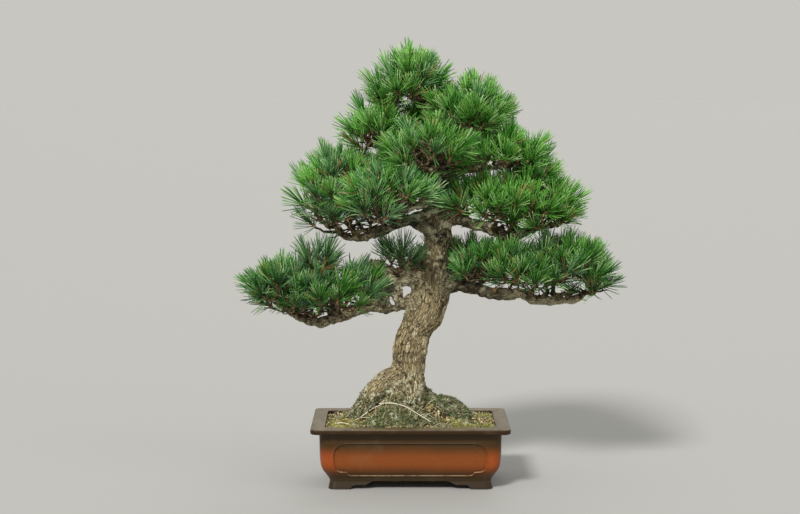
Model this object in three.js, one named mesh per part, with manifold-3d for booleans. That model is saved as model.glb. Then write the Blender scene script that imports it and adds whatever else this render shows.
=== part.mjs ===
// A pine bonsai in an unglazed clay pot: rooted trunk with its branches, leafy sprays of needles,
// soil, moss cushions, and the plastic screens over the pot's two drain holes.
// Millimetres, +Z up, the front of the pot towards -Y. Everything is laid out round the middle of the pot,
// on the surface that the pot stands on. The last lines move the whole so that its box stands over the origin.
import * as THREE from "three";
import { mergeVertices } from "three/addons/utils/BufferGeometryUtils.js";
import Module from "manifold-3d";

const wasm = await Module();
wasm.setup();

// Driving dimensions.
const GAP = 0.3; // left between two pieces that rest on each other
const RIM_LENGTH = 266;
const RIM_WIDTH = 175;
const POT_HEIGHT = 85;
const RIM_SHELF = 19; // the flat top of the rim, from its outer edge to the opening
const FLOOR_TOP = 19;
const FLOOR_UNDERSIDE = 11;
const FOOT_THICKNESS = 14;
const DRAIN_RADIUS = 9;
const DRAIN_SPACING = 100;
const SCREEN_SIDE = 34;
const SCREEN_THICKNESS = 1.2;
const PANEL_DEPTH = 1.4;
const PANEL_INSET = 31; // from the rim's outer edge to the end of the sunk panel
const SOIL_EDGE = 80; // where the soil meets the pot wall
const NEEDLE_LENGTH = 39;
const LOWEST_ANGLE = 84; // degrees from the shoot to its lowest needles
const TOP_ANGLE = 16; // and to its highest
const SHOOT_RADIUS = 2.2; // the slim shoot that carries a tuft of needles
const SHOOT_ROWS = 3;
const SHOOT_STEP = 3.9; // between the rows of needles
const SHOOT_HEIGHT = (SHOOT_ROWS + 0.8) * SHOOT_STEP;
const TWIG_RADIUS = 1.6;
const STEM_RADIUS = 3.6;
const STEM_SIDES = 6;
const STEM_DROP = 24; // how far a stem ends below the tufts over it
const PAD_LEAN = 62; // degrees that the outermost shoots lean out
const GOLDEN_ANGLE = 137.508;
const CLEARANCE = 0.7; // between the needles, twigs and stems of different pieces
// How high a twig's bend may lie between its foot and its tuft, and how far a stem's middle may swing aside and
// lift, as shares of its reach. The first that is clear of its neighbours is taken.
const TWIG_LIFTS = [0.4, 0.55, 0.25, 0.75, 0.1];
const STEM_SWINGS = [[0, 0], [0, 0.2], [0.2, 0], [-0.2, 0], [0.2, 0.2], [-0.2, 0.2], [0.4, 0], [-0.4, 0]];

const CLAY = { color: 0x7a4a30, roughness: 0.55, metalness: 0 };
const BARK = { color: 0x7d6c55, roughness: 0.9, metalness: 0 };
const NEEDLES = { color: 0x2f7a38, roughness: 0.5, metalness: 0 };
const SOIL = { color: 0x4a3d2c, roughness: 1, metalness: 0 };
const MOSS = { color: 0x7c8440, roughness: 1, metalness: 0 };
const PLASTIC = { color: 0x1c1c1e, roughness: 0.6, metalness: 0 };

// The woody skeleton. Each point is [x, y, z, radius].
const TRUNK = [
  [-6, 0, 50, 34], [-6, 0, 84, 34], [-6, 0, 106, 31], [-5, 0, 126, 27], [-3, 0, 150, 23.5], [0, 0, 184, 23.5],
  [10, 0, 212, 24], [22, 0, 235, 27], [28, 0, 262, 27], [31, 0, 292, 21.5], [35, 0, 328, 16.5], [39, 2, 360, 13],
  [41, 2, 397, 11], [35, 0, 445, 9], [24, 0, 498, 7], [8, 0, 526, 4.5], [2, 0, 536, 3],
];
const ROOTS = [
  [[-6, -2, 124, 25], [-24, -3, 110, 20], [-42, -4, 96, 15], [-54, -4, 80, 9]],
  [
    [-8, -4, 150, 12], [-30, -6, 141, 14], [-48, -12, 125, 14], [-62, -20, 106, 12], [-74, -26, 88, 9],
    [-84, -30, 70, 5],
  ],
  [
    [-8, 4, 148, 11], [-31, 4, 139, 13], [-48, 8, 124, 13], [-63, 12, 106, 11], [-76, 14, 90, 9], [-90, 16, 70, 5],
  ],
  [[4, 10, 124, 13], [22, 24, 110, 12], [36, 38, 97, 9], [48, 48, 86, 7], [54, 54, 70, 5]],
  [[-10, 10, 128, 13], [-20, 28, 112, 12], [-28, 44, 96, 9], [-34, 54, 84, 7], [-38, 58, 70, 5]],
];
const LIMBS = {
  low_left: [
    [24, 0, 280, 13], [-2, -2, 281, 13.5], [-26, -2, 275, 12.5], [-44, -3, 258, 11], [-60, -5, 241, 9.5],
    [-86, -8, 229, 8], [-112, -8, 220.5, 7.5], [-136, -8, 219, 6.5], [-162, -6, 232, 5], [-184, -3, 246, 3.5],
  ],
  low_left_under: [[14, 0, 252, 8], [-8, -2, 243, 6.5], [-28, -3, 237, 6], [-54, -4, 238, 7]],
  low_right: [
    [36, 0, 268, 12], [60, -1, 272, 10], [84, -3, 265, 8.5], [110, -4, 258, 8.5], [134, -5, 255, 7.5],
    [150, -5, 257, 7.5], [172, -6, 249, 6.5], [200, -6, 248, 6], [224, -5, 251, 5], [240, -3, 258, 3.5],
  ],
  mid_left: [
    [34, 0, 372, 9], [14, -3, 360, 8.5], [-6, -5, 356, 8], [-28, -6, 347, 7], [-48, -7, 339, 6.5],
    [-66, -7, 333.5, 6], [-82, -6, 333, 6], [-95, -5, 341, 5], [-106, -4, 364, 3.5],
  ],
  mid_right: [
    [44, 2, 384, 9], [60, 0, 363, 8.5], [80, -2, 352, 8.5], [100, -3, 347, 8], [118, -4, 339, 7.5],
    [137, -5, 334.5, 7], [152, -4, 340, 6.5], [170, -3, 347, 5], [194, -3, 349, 3.5],
  ],
  upper_left: [[34, 0, 450, 6.5], [12, -3, 449, 6], [-10, -4, 448, 5.5], [-30, -4, 452, 5], [-54, -4, 458, 3.5]],
  upper_right: [[38, 0, 420, 7], [60, -2, 424, 7], [84, -4, 428, 6], [108, -4, 428, 5.5], [132, -4, 430, 4]],
  shoulder: [[26, 0, 484, 5.5], [44, -2, 484, 5.5], [64, -3, 487, 5], [84, -3, 490, 3.5]],
  front_mid: [[36, -2, 392, 6.5], [24, -24, 384, 6], [2, -44, 376, 5], [-26, -58, 372, 3.5]],
  front_upper: [[34, -2, 436, 6], [34, -24, 430, 5.5], [30, -44, 427, 4.5], [22, -58, 426, 3.5]],
  back_low: [[28, 4, 262, 9], [34, 30, 264, 8], [46, 58, 258, 7], [60, 86, 254, 5.5], [70, 108, 254, 4]],
  back_mid: [[38, 4, 400, 6.5], [28, 28, 398, 6], [14, 54, 392, 5], [4, 80, 390, 3.5]],
  back_upper: [[28, 2, 470, 5.5], [34, 24, 468, 5], [44, 48, 468, 4], [50, 64, 470, 3.5]],
  apex: TRUNK.slice(-4),
};

// The cushions of foliage. Each one is a dome over an ellipse in plan, on the limb of its own name unless limb says
// another. Heights are those of the shoots that carry the needles: at the ellipse's edge, and how much more in its
// middle.
const PADS = [
  { name: "low_left", middle: [-130, -5], half: [76, 66], edge: 250, dome: 20, tufts: 15, sprays: 4 },
  { name: "low_right", middle: [163, -8], half: [92, 68], edge: 268, dome: 26, tufts: 17, sprays: 5 },
  { name: "mid_left", middle: [-97, -4], half: [44, 58], edge: 366, dome: 46, tufts: 10, sprays: 3 },
  { name: "mid_right", middle: [140, -4], half: [72, 62], edge: 358, dome: 30, tufts: 13, sprays: 4 },
  { name: "upper_left", middle: [-46, -4], half: [26, 44], edge: 470, dome: 18, tufts: 6, sprays: 2 },
  { name: "upper_right", middle: [120, -4], half: [56, 56], edge: 444, dome: 22, tufts: 9, sprays: 3 },
  { name: "shoulder", middle: [70, -4], half: [42, 46], edge: 492, dome: 22, tufts: 7, sprays: 2 },
  { name: "apex", middle: [-8, 0], half: [40, 44], edge: 532, dome: 20, tufts: 8, sprays: 3 },
  { name: "front_mid", middle: [-28, -74], half: [42, 38], edge: 388, dome: 22, tufts: 6, sprays: 2 },
  { name: "front_upper", middle: [22, -68], half: [40, 36], edge: 444, dome: 24, tufts: 6, sprays: 2 },
  { name: "back_low", middle: [66, 116], half: [62, 52], edge: 270, dome: 22, tufts: 9, sprays: 3 },
  { name: "back_mid", middle: [-6, 92], half: [60, 48], edge: 400, dome: 24, tufts: 8, sprays: 2 },
  { name: "back_upper", middle: [50, 74], half: [46, 40], edge: 484, dome: 20, tufts: 6, sprays: 2 },
  {
    name: "low_left_high",
    limb: "low_left",
    middle: [-111, -24],
    half: [15, 14],
    edge: 288,
    dome: 6,
    tufts: 2,
    sprays: 1,
  },
  {
    name: "crotch",
    limb: "low_left",
    middle: [-18, -22],
    half: [12, 12],
    edge: 306,
    dome: 4,
    tufts: 2,
    sprays: 1,
  },
];

// ---- small tools ----

const vec = (x, y, z) => new THREE.Vector3(x, y, z);
const radians = THREE.MathUtils.degToRad;

// A number from 0 to 1 that looks random and is the same each time, for each count.
function scatter(count) {
  const s = Math.sin(count * 12.9898) * 43758.5453;
  return s - Math.floor(s);
}

function solidOf(geometry) {
  const bare = geometry.clone();
  bare.deleteAttribute("normal");
  bare.deleteAttribute("uv");
  const merged = mergeVertices(bare, 1e-4);
  const vertProperties = merged.attributes.position.array;
  const triVerts = new Uint32Array(merged.index.array);
  return new wasm.Manifold(new wasm.Mesh({ numProp: 3, vertProperties, triVerts }));
}

// Corners that a cut leaves closer together than this are made one.
const WELD = 0.01;

function meshOf(name, solid, look) {
  const made = solid.getMesh();
  const cut = new THREE.BufferGeometry();
  cut.setAttribute("position", new THREE.BufferAttribute(new Float32Array(made.vertProperties), 3));
  cut.setIndex(new THREE.BufferAttribute(new Uint32Array(made.triVerts), 1));
  const geometry = mergeVertices(cut, WELD);
  const corners = Array.from(geometry.index.array);
  const kept = [];
  for (let i = 0; i < corners.length; i += 3) {
    const [a, b, c] = corners.slice(i, i + 3);
    if (a !== b && b !== c && c !== a) kept.push(a, b, c);
  }
  geometry.setIndex(kept);
  geometry.computeVertexNormals();
  const mesh = new THREE.Mesh(geometry, new THREE.MeshStandardMaterial(look));
  mesh.name = name;
  return mesh;
}

// The largest of a solid's bodies: a scrap that a cut leaves loose is dropped.
function mainBody(solid) {
  return solid.decompose().reduce((a, b) => (b.volume() > a.volume() ? b : a));
}

const joined = (solids) => solids.reduce((whole, piece) => whole.add(piece));

// A closed surface from triangles of points.
function surface(triangles) {
  const geometry = new THREE.BufferGeometry();
  geometry.setFromPoints(triangles.flat());
  return geometry;
}

// The triangles between rings of points, each ring running anticlockwise as seen from the last one.
function skin(rings) {
  const triangles = [];
  for (let i = 0; i + 1 < rings.length; i++) {
    rings[i].forEach((a, j) => {
      const k = (j + 1) % rings[i].length;
      triangles.push([a, rings[i][k], rings[i + 1][k]], [a, rings[i + 1][k], rings[i + 1][j]]);
    });
  }
  return triangles;
}

function cap(ring, facesBack) {
  const middle = ring.reduce((sum, p) => sum.add(p), vec(0, 0, 0)).divideScalar(ring.length);
  return ring.map((a, j) => {
    const b = ring[(j + 1) % ring.length];
    return facesBack ? [middle, b, a] : [middle, a, b];
  });
}

const loft = (rings) => solidOf(surface([...cap(rings[0], true), ...skin(rings), ...cap(rings.at(-1), false)]));

// A smooth list of points through a few [x, y, z, radius], with so many steps between each two.
function through(points, steps) {
  const at = (i) => points[THREE.MathUtils.clamp(i, 0, points.length - 1)];
  const smooth = [];
  for (let i = 0; i + 1 < points.length; i++) {
    for (let s = 0; s < steps; s++) {
      const t = s / steps;
      smooth.push(
        points[i].map((b, k) => {
          const [a, c, d] = [at(i - 1)[k], at(i + 1)[k], at(i + 2)[k]];
          const [square, cube] = [2 * a - 5 * b + 4 * c - d, 3 * b - a - 3 * c + d];
          return 0.5 * (2 * b + (c - a) * t + square * t * t + cube * t ** 3);
        }),
      );
    }
  }
  return [...smooth, points.at(-1)];
}

// Rings of points round a path of [x, y, z, radius], without twist. Bark is the share that a corner may stand
// in or out, and grow is added to every radius.
function ringsAlong(path, sides, bark, grow) {
  const places = path.map(([x, y, z]) => vec(x, y, z));
  let side = null;
  return places.map((place, i) => {
    const before = places[Math.max(i - 1, 0)];
    const after = places[Math.min(i + 1, places.length - 1)];
    const ahead = after.clone().sub(before).normalize();
    side ??= Math.abs(ahead.x) < 0.9 ? vec(1, 0, 0) : vec(0, 0, 1);
    side = side.clone().addScaledVector(ahead, -side.dot(ahead)).normalize();
    const across = ahead.clone().cross(side);
    return Array.from({ length: sides }, (_, j) => {
      const angle = (2 * Math.PI * j) / sides;
      const rough = 1 + bark * (2 * scatter(i * 31 + j * 17 + path.length) - 1);
      const radius = path[i][3] * rough + grow;
      return place
        .clone()
        .addScaledVector(side, radius * Math.cos(angle))
        .addScaledVector(across, radius * Math.sin(angle));
    });
  });
}

const limbSolid = (path, sides, bark = 0, grow = 0) => loft(ringsAlong(path, sides, bark, grow));

// ---- clearance between slim things: each is a straight run from a to b that tapers from ra to rb ----

const runs = [];

function closest(p, q) {
  const d1 = p.b.clone().sub(p.a);
  const d2 = q.b.clone().sub(q.a);
  const r = p.a.clone().sub(q.a);
  const [a, e, f, c, b] = [d1.dot(d1), d2.dot(d2), d2.dot(r), d1.dot(r), d1.dot(d2)];
  const span = a * e - b * b;
  const clamp = THREE.MathUtils.clamp;
  let s = span > 1e-9 ? clamp((b * f - c * e) / span, 0, 1) : 0;
  let t = (b * s + f) / e;
  if (t < 0 || t > 1) {
    t = clamp(t, 0, 1);
    s = clamp((b * t - c) / a, 0, 1);
  }
  const apart = r.addScaledVector(d1, s).addScaledVector(d2, -t).length();
  return apart - THREE.MathUtils.lerp(p.ra, p.rb, s) - THREE.MathUtils.lerp(q.ra, q.rb, t);
}

// Two runs of one piece may meet where they start, so only their outer parts are held apart.
function outerPart(run) {
  const share = 0.35;
  const ra = THREE.MathUtils.lerp(run.ra, run.rb, share);
  return { a: run.a.clone().lerp(run.b, share), b: run.b, ra, rb: run.rb };
}

function isClear(run) {
  const reach = run.a.distanceTo(run.b) + 60;
  return runs.every((other) => {
    if (other.a.distanceTo(run.a) > reach) return true;
    if (other.piece !== run.piece) return closest(run, other) > CLEARANCE;
    if (other.shoot && run.shoot && other.shoot !== run.shoot) return closest(run, other) > CLEARANCE;
    if (other.start === run.start) return true;
    return closest(outerPart(run), outerPart(other)) > 0.15;
  });
}

function addRuns(path, about) {
  for (let i = 0; i + 1 < path.length; i++) {
    const [a, b] = [path[i], path[i + 1]];
    runs.push({ a: vec(a[0], a[1], a[2]), b: vec(b[0], b[1], b[2]), ra: a[3], rb: b[3], ...about });
  }
}

// ---- trunk, roots and branches ----

const TRUNK_SIDES = 12;
const TRUNK_STEPS = 2;
const ROOT_SIDES = 7;
const LIMB_SIDES = 6;
const TRUNK_BARK = 0.07;
const LIMB_BARK = 0.1;

function wood(grow) {
  return joined([
    limbSolid(through(TRUNK, TRUNK_STEPS), TRUNK_SIDES, TRUNK_BARK, grow),
    ...ROOTS.map((root) => limbSolid(root, ROOT_SIDES, LIMB_BARK, grow)),
    ...Object.entries(LIMBS)
      .filter(([name]) => name !== "apex")
      .map(([, limb]) => limbSolid(limb, LIMB_SIDES, LIMB_BARK, grow)),
  ]);
}

// ---- sprays: a stem from the limb, twigs raised on its facets, and needles raised on the twigs' shoots ----

const plan = (p, q) => Math.hypot(p[0] - q[0], p[1] - q[1]);
const space = (p, q) => Math.hypot(p[0] - q[0], p[1] - q[1], p[2] - q[2]);
const nearest = (list, p, apart) => list.reduce((a, b) => (apart(b, p) < apart(a, p) ? b : a));

// Tufts in a sunflower's spiral over the pad's ellipse.
function layTufts(pad, seed) {
  return Array.from({ length: pad.tufts }, (_, i) => {
    const share = Math.sqrt((i + 0.5) / pad.tufts);
    const angle = radians(i * GOLDEN_ANGLE + 40 * scatter(seed + i));
    const [dx, dy] = [Math.cos(angle), Math.sin(angle)];
    const lean = radians(PAD_LEAN * share);
    const height = pad.edge + pad.dome * (1 - share * share) + 12 * (scatter(seed + i + 50) - 0.5);
    return {
      place: vec(pad.middle[0] + pad.half[0] * share * dx, pad.middle[1] + pad.half[1] * share * dy, height),
      axis: vec(dx * Math.sin(lean), dy * Math.sin(lean), Math.cos(lean)),
      seed: seed + 7 * i,
    };
  });
}

// The ends of the pad's stems, spread round it.
function layForks(pad) {
  const reach = pad.sprays > 1 ? 0.55 : 0;
  return Array.from({ length: pad.sprays }, (_, k) => {
    const angle = radians(50 + (360 * k) / pad.sprays);
    return [
      pad.middle[0] + pad.half[0] * reach * Math.cos(angle),
      pad.middle[1] + pad.half[1] * reach * Math.sin(angle),
      pad.edge + pad.dome * (1 - reach * reach) - STEM_DROP,
    ];
  });
}

// The stem leaves the core of the limb, clear of the stems before it, runs out low and rises to its end. Its
// middle swings aside or lifts where it would touch another stem.
function layStem(limb, fork, piece) {
  const roots = through(limb, 4).slice(3).sort((p, q) => space(p, fork) - space(q, fork));
  for (const [aside, lift] of STEM_SWINGS) {
    for (const root of roots.slice(0, 12)) {
      const part = (k, share) => root[k] + (fork[k] - root[k]) * share;
      const [dx, dy] = [fork[0] - root[0], fork[1] - root[1]];
      const path = [
        [root[0], root[1], root[2], STEM_RADIUS],
        [part(0, 0.45) - dy * aside, part(1, 0.45) + dx * aside, part(2, 0.3 + lift), STEM_RADIUS],
        [part(0, 0.75) - dy * aside, part(1, 0.75) + dx * aside, part(2, 0.65 + lift), STEM_RADIUS * 0.9],
        [fork[0], fork[1], fork[2], STEM_RADIUS * 0.75],
      ];
      const before = runs.length;
      addRuns(path, { piece, start: "stem" });
      const mine = runs.splice(before);
      const others = runs.filter((run) => run.start === "stem");
      if (mine.every((run) => others.every((other) => closest(run, other) > CLEARANCE))) {
        runs.push(...mine);
        return path;
      }
    }
  }
  throw new Error(`no room for ${piece}`);
}

// Three points round a place, turned from a facet's own corners by the least turn from one heading to the next.
function turnedRing(corners, heading, place, ahead, radius) {
  const middle = corners[0].clone().add(corners[1]).add(corners[2]).divideScalar(3);
  const turn = new THREE.Quaternion().setFromUnitVectors(heading, ahead);
  const first = corners[0].clone().sub(middle).applyQuaternion(turn);
  first.addScaledVector(ahead, -first.dot(ahead)).setLength(radius);
  return [0, 120, 240].map((angle) => first.clone().applyAxisAngle(ahead, radians(angle)).add(place));
}

const middleOf = ([a, b, c]) => a.clone().add(b).add(c).divideScalar(3);
const facing = ([a, b, c]) => b.clone().sub(a).cross(c.clone().sub(a)).normalize();

// The facets between two rings of equal count.
function facetsBetween(low, high) {
  return low.flatMap((a, j) => {
    const k = (j + 1) % low.length;
    return [[a, low[k], high[k]], [a, high[k], high[j]]];
  });
}

// A needle stands on each facet of a shoot, unless it would touch something. The lowest needles point
// outwards and the top ones along the shoot.
function growTuft(ring, tuft, about) {
  const middle = middleOf(ring);
  const rings = [ring];
  for (let row = 1; row <= SHOOT_ROWS; row++) {
    rings.push(
      ring.map((p) =>
        p
          .clone()
          .sub(middle)
          .applyAxisAngle(tuft.axis, radians(60 * row))
          .multiplyScalar(1 - (0.25 * row) / SHOOT_ROWS)
          .add(middle)
          .addScaledVector(tuft.axis, row * SHOOT_STEP),
      ),
    );
  }
  const tip = middle.clone().addScaledVector(tuft.axis, SHOOT_HEIGHT);
  const facets = [];
  rings.slice(1).forEach((high, row) => {
    const low = rings[row];
    [0, 1, 2].forEach((j) => {
      const k = (j + 1) % 3;
      facets.push([low[j], low[k], high[j]], [low[k], high[k], high[j]]);
    });
  });
  rings.at(-1).forEach((a, j) => facets.push([a, rings.at(-1)[(j + 1) % 3], tip]));
  return facets.flatMap((facet, n) => {
    const foot = middleOf(facet);
    const out = foot.clone().sub(middle);
    const share = THREE.MathUtils.clamp(out.dot(tuft.axis) / SHOOT_HEIGHT / 0.85, 0, 1);
    out.addScaledVector(tuft.axis, -out.dot(tuft.axis)).normalize();
    for (let attempt = 0; attempt < 6; attempt++) {
      const luck = (k) => scatter(tuft.seed + 3 * n + k + 11 * attempt) - 0.5;
      const angle = radians(THREE.MathUtils.lerp(LOWEST_ANGLE, TOP_ANGLE, share) + 8 * luck(1));
      const swung = out.clone().applyAxisAngle(tuft.axis, radians(20 * luck(2)));
      const aim = swung.multiplyScalar(Math.sin(angle)).addScaledVector(tuft.axis, Math.cos(angle));
      const length = NEEDLE_LENGTH * (1 - 0.05 * attempt) * (1 + 0.14 * luck(3));
      const run = { a: foot, b: foot.clone().addScaledVector(aim, length), ra: 2, rb: 0.2, ...about };
      if (isClear(run)) {
        runs.push(run);
        return [[facet[0], facet[1], run.b], [facet[1], facet[2], run.b], [facet[2], facet[0], run.b]];
      }
    }
    return [facet];
  });
}

// A twig starts on the stem's facet that best faces its tuft, runs out level and turns up into the shoot.
function layTwig(tuft, facets, piece) {
  const neck = tuft.place;
  const top = neck.clone().addScaledVector(tuft.axis, SHOOT_HEIGHT);
  const fitness = (facet) => {
    const way = neck.clone().sub(middleOf(facet));
    return facing(facet).dot(way.clone().normalize()) - way.length() * 0.02;
  };
  const besideTwig = (facet) => facets.some((f) => f.used && f.filter((p) => facet.includes(p)).length > 1);
  const choices = facets.filter((facet) => !besideTwig(facet)).sort((a, b) => fitness(b) - fitness(a));
  for (const facet of choices.slice(0, 8)) {
    const foot = middleOf(facet);
    for (const lift of TWIG_LIFTS) {
      const bend = foot.clone().lerp(neck, 0.6);
      bend.z = THREE.MathUtils.lerp(foot.z, neck.z, lift);
      const path = [foot, bend, neck, top].map((p) => [...p.toArray(), SHOOT_RADIUS]);
      const start = foot.toArray().join();
      const before = runs.length;
      addRuns(path, { piece, start });
      const mine = runs.splice(before);
      if (facing(facet).dot(bend.clone().sub(foot).normalize()) > 0.25 && mine.every(isClear)) {
        facet.used = true;
        runs.push(...mine);
        return { facet, bend, start };
      }
    }
  }
  return null;
}

function twigSkin({ facet, bend }, tuft) {
  const away = bend.clone().sub(middleOf(facet)).normalize();
  const ahead = away.clone().add(tuft.place.clone().sub(bend).normalize()).normalize();
  const elbow = turnedRing(facet, facing(facet), bend, ahead, TWIG_RADIUS);
  const neck = turnedRing(elbow, ahead, tuft.place, tuft.axis, SHOOT_RADIUS);
  return { neck, triangles: [...facetsBetween(facet, elbow), ...facetsBetween(elbow, neck)] };
}

function laySprays() {
  return PADS.flatMap((pad, p) => {
    const forks = layForks(pad);
    const tufts = layTufts(pad, 100 * (p + 1));
    return forks.map((fork, k) => {
      const piece = `spray_${pad.name}_${k + 1}`;
      const path = layStem(LIMBS[pad.limb ?? pad.name], fork, piece);
      const rings = ringsAlong(path, STEM_SIDES, 0.06, 0);
      const [neck, end] = path.slice(-2).map(([x, y, z]) => vec(x, y, z));
      const tip = end.clone().add(end.clone().sub(neck).setLength(STEM_RADIUS));
      const facets = rings.slice(1).flatMap((ring, i) => facetsBetween(rings[i], ring));
      facets.push(...rings.at(-1).map((a, j) => [a, rings.at(-1)[(j + 1) % STEM_SIDES], tip]));
      const mine = tufts.filter((t) => nearest(forks, t.place.toArray(), plan) === fork);
      return { piece, base: cap(rings[0], true), facets, tufts: mine };
    });
  });
}

function growSprays(woodRoom) {
  addRuns(through(TRUNK, TRUNK_STEPS), { piece: "wood" });
  Object.values(LIMBS).forEach((limb) => addRuns(limb, { piece: "wood" }));
  const sprays = laySprays();
  sprays.forEach((spray) => {
    const open = spray.facets.slice(2 * STEM_SIDES);
    spray.twigs = spray.tufts.map((tuft) => layTwig(tuft, open, spray.piece));
  });
  return sprays.map(({ piece, base, facets, tufts, twigs }) => {
    const triangles = [...base, ...facets.filter((facet) => !facet.used)];
    twigs.forEach((twig, i) => {
      if (!twig) return;
      const { neck, triangles: skinOfTwig } = twigSkin(twig, tufts[i]);
      const about = { piece, start: twig.start, shoot: `${piece} ${i}` };
      triangles.push(...skinOfTwig, ...growTuft(neck, tufts[i], about));
    });
    return meshOf(piece, mainBody(solidOf(surface(triangles)).subtract(woodRoom)), NEEDLES);
  });
}

// ---- pot ----

const CORNER_STEPS = 3;

// A rectangle with round corners at one height, anticlockwise from above.
function roundedRing(halfLength, halfWidth, radius, z) {
  const ring = [];
  const corners = [[1, 1], [-1, 1], [-1, -1], [1, -1]];
  corners.forEach(([sx, sy], quarter) => {
    for (let s = 0; s <= CORNER_STEPS; s++) {
      const angle = radians(90 * quarter + (90 * s) / CORNER_STEPS);
      ring.push(
        vec(
          sx * (halfLength - radius) + radius * Math.cos(angle),
          sy * (halfWidth - radius) + radius * Math.sin(angle),
          z,
        ),
      );
    }
  });
  return ring;
}

// The pot's outside, from the foot up: [height, inset from the rim's outer edge, corner radius].
const OUTSIDE = [
  [0, 23, 9], [6, 24, 9], [11, 25.2, 9], [15, 23.4, 10], [18.5, 21.2, 11], [22, 18.7, 12], [26, 16.1, 12],
  [32, 13.9, 12], [40, 12.9, 12], [56, 12, 12], [74, 11.4, 12], [77.5, 10.6, 12], [77.6, 1.4, 8], [78.8, 0.2, 8],
  [83.4, 0, 8], [POT_HEIGHT, 1.6, 7],
];
// Its inside, from the floor up: [height, inset, corner radius].
const INSIDE = [
  [FLOOR_TOP, 31, 10], [26, 26, 10], [36, 22, 10], [50, 20.2, 10], [66, 19.2, 9], [POT_HEIGHT + 1, RIM_SHELF, 8],
];

function potBody(outline, inwards = 0) {
  return loft(
    outline.map(([z, inset, radius]) =>
      roundedRing(RIM_LENGTH / 2 - inset - inwards, RIM_WIDTH / 2 - inset - inwards, radius, z),
    ),
  );
}

// A flat outline of [across, up] points pushed through the pot along Y, or along X if turned.
function pushedThrough(outline, from, to, turned) {
  const shape = new THREE.Shape(outline.map(([x, z]) => new THREE.Vector2(x, z)));
  const geometry = new THREE.ExtrudeGeometry(shape, { depth: to - from, bevelEnabled: false });
  geometry.translate(0, 0, from);
  geometry.rotateX(Math.PI / 2);
  if (turned) geometry.rotateZ(Math.PI / 2);
  return solidOf(geometry);
}

const mirrored = (half) => [...half, ...half.map(([x, z]) => [-x, z]).reverse()];

// The stepped cut-out between two feet.
function archOutline(half) {
  return mirrored([
    [half, -1], [half - 4, 4.6], [half - 8, 5.8], [half - 21, 6], [half - 26, 8.4], [half - 31, 10.6],
    [half - 36, FLOOR_UNDERSIDE],
  ]);
}

// The sunk panel on each face, with its stepped lower corners.
function panelOutline(half) {
  return mirrored([
    [half - 22, 19.5], [half - 19, 21], [half - 17, 24.5], [half - 8, 25.2], [half - 3, 28], [half - 0.5, 36],
    [half, 48], [half - 2.5, 56], [half - 9, 61], [half - 18, 62.5],
  ]);
}

function makePot() {
  const outside = potBody(OUTSIDE);
  const sunkWall = potBody(OUTSIDE.slice(2, -4), PANEL_DEPTH);
  let pot = outside.subtract(potBody(INSIDE));
  const footInset = OUTSIDE[0][1] + FOOT_THICKNESS;
  const footHalf = [RIM_LENGTH / 2 - footInset, RIM_WIDTH / 2 - footInset];
  pot = pot.subtract(loft([-1, FLOOR_UNDERSIDE].map((z) => roundedRing(...footHalf, 6, z))));
  const faces = [
    { half: RIM_LENGTH / 2 - PANEL_INSET, arch: 82, depth: RIM_WIDTH / 2, turned: false },
    { half: RIM_WIDTH / 2 - PANEL_INSET, arch: 42.5, depth: RIM_LENGTH / 2, turned: true },
  ];
  faces.forEach(({ half, arch, depth, turned }) => {
    pot = pot.subtract(pushedThrough(archOutline(arch), -depth - 5, depth + 5, turned));
    const ends = pushedThrough(panelOutline(half), -depth - 5, depth + 5, turned);
    pot = pot.subtract(ends.subtract(sunkWall));
  });
  [-1, 1].forEach((end) => {
    const drain = new THREE.CylinderGeometry(DRAIN_RADIUS, DRAIN_RADIUS, 30, 16);
    drain.rotateX(Math.PI / 2);
    drain.translate((end * DRAIN_SPACING) / 2, 0, FLOOR_TOP - 8);
    pot = pot.subtract(solidOf(drain));
  });
  return mainBody(pot);
}

// ---- drain screens, soil and moss ----

const box = (x, y, z) => new THREE.BoxGeometry(x, y, z);

function makeScreen(x) {
  const z = FLOOR_TOP + GAP + SCREEN_THICKNESS / 2;
  let screen = solidOf(box(SCREEN_SIDE, SCREEN_SIDE, SCREEN_THICKNESS).translate(x, 0, z));
  const pitch = SCREEN_SIDE / 5;
  for (const i of [-1.5, -0.5, 0.5, 1.5]) {
    const slot = box(pitch * 0.5, SCREEN_SIDE * 0.8, 4).translate(x + i * pitch, 0, z);
    screen = screen.subtract(solidOf(slot));
  }
  return screen;
}

// How high the soil stands: near level at the wall, and heaped up round the trunk.
function soilHeight(x, y) {
  const heap = (px, py, sx, sy, high) => high * Math.exp(-(((x - px) / sx) ** 2) - ((y - py) / sy) ** 2);
  const level = SOIL_EDGE + 1.2 * Math.sin(x * 0.11 + 1) * Math.cos(y * 0.14);
  return level + heap(-8, -2, 50, 42, 36) + heap(54, 2, 34, 28, 20) + heap(-58, -4, 26, 30, 12);
}

const SOIL_COLUMNS = 10;
const SOIL_ROWS = 6;

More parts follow.
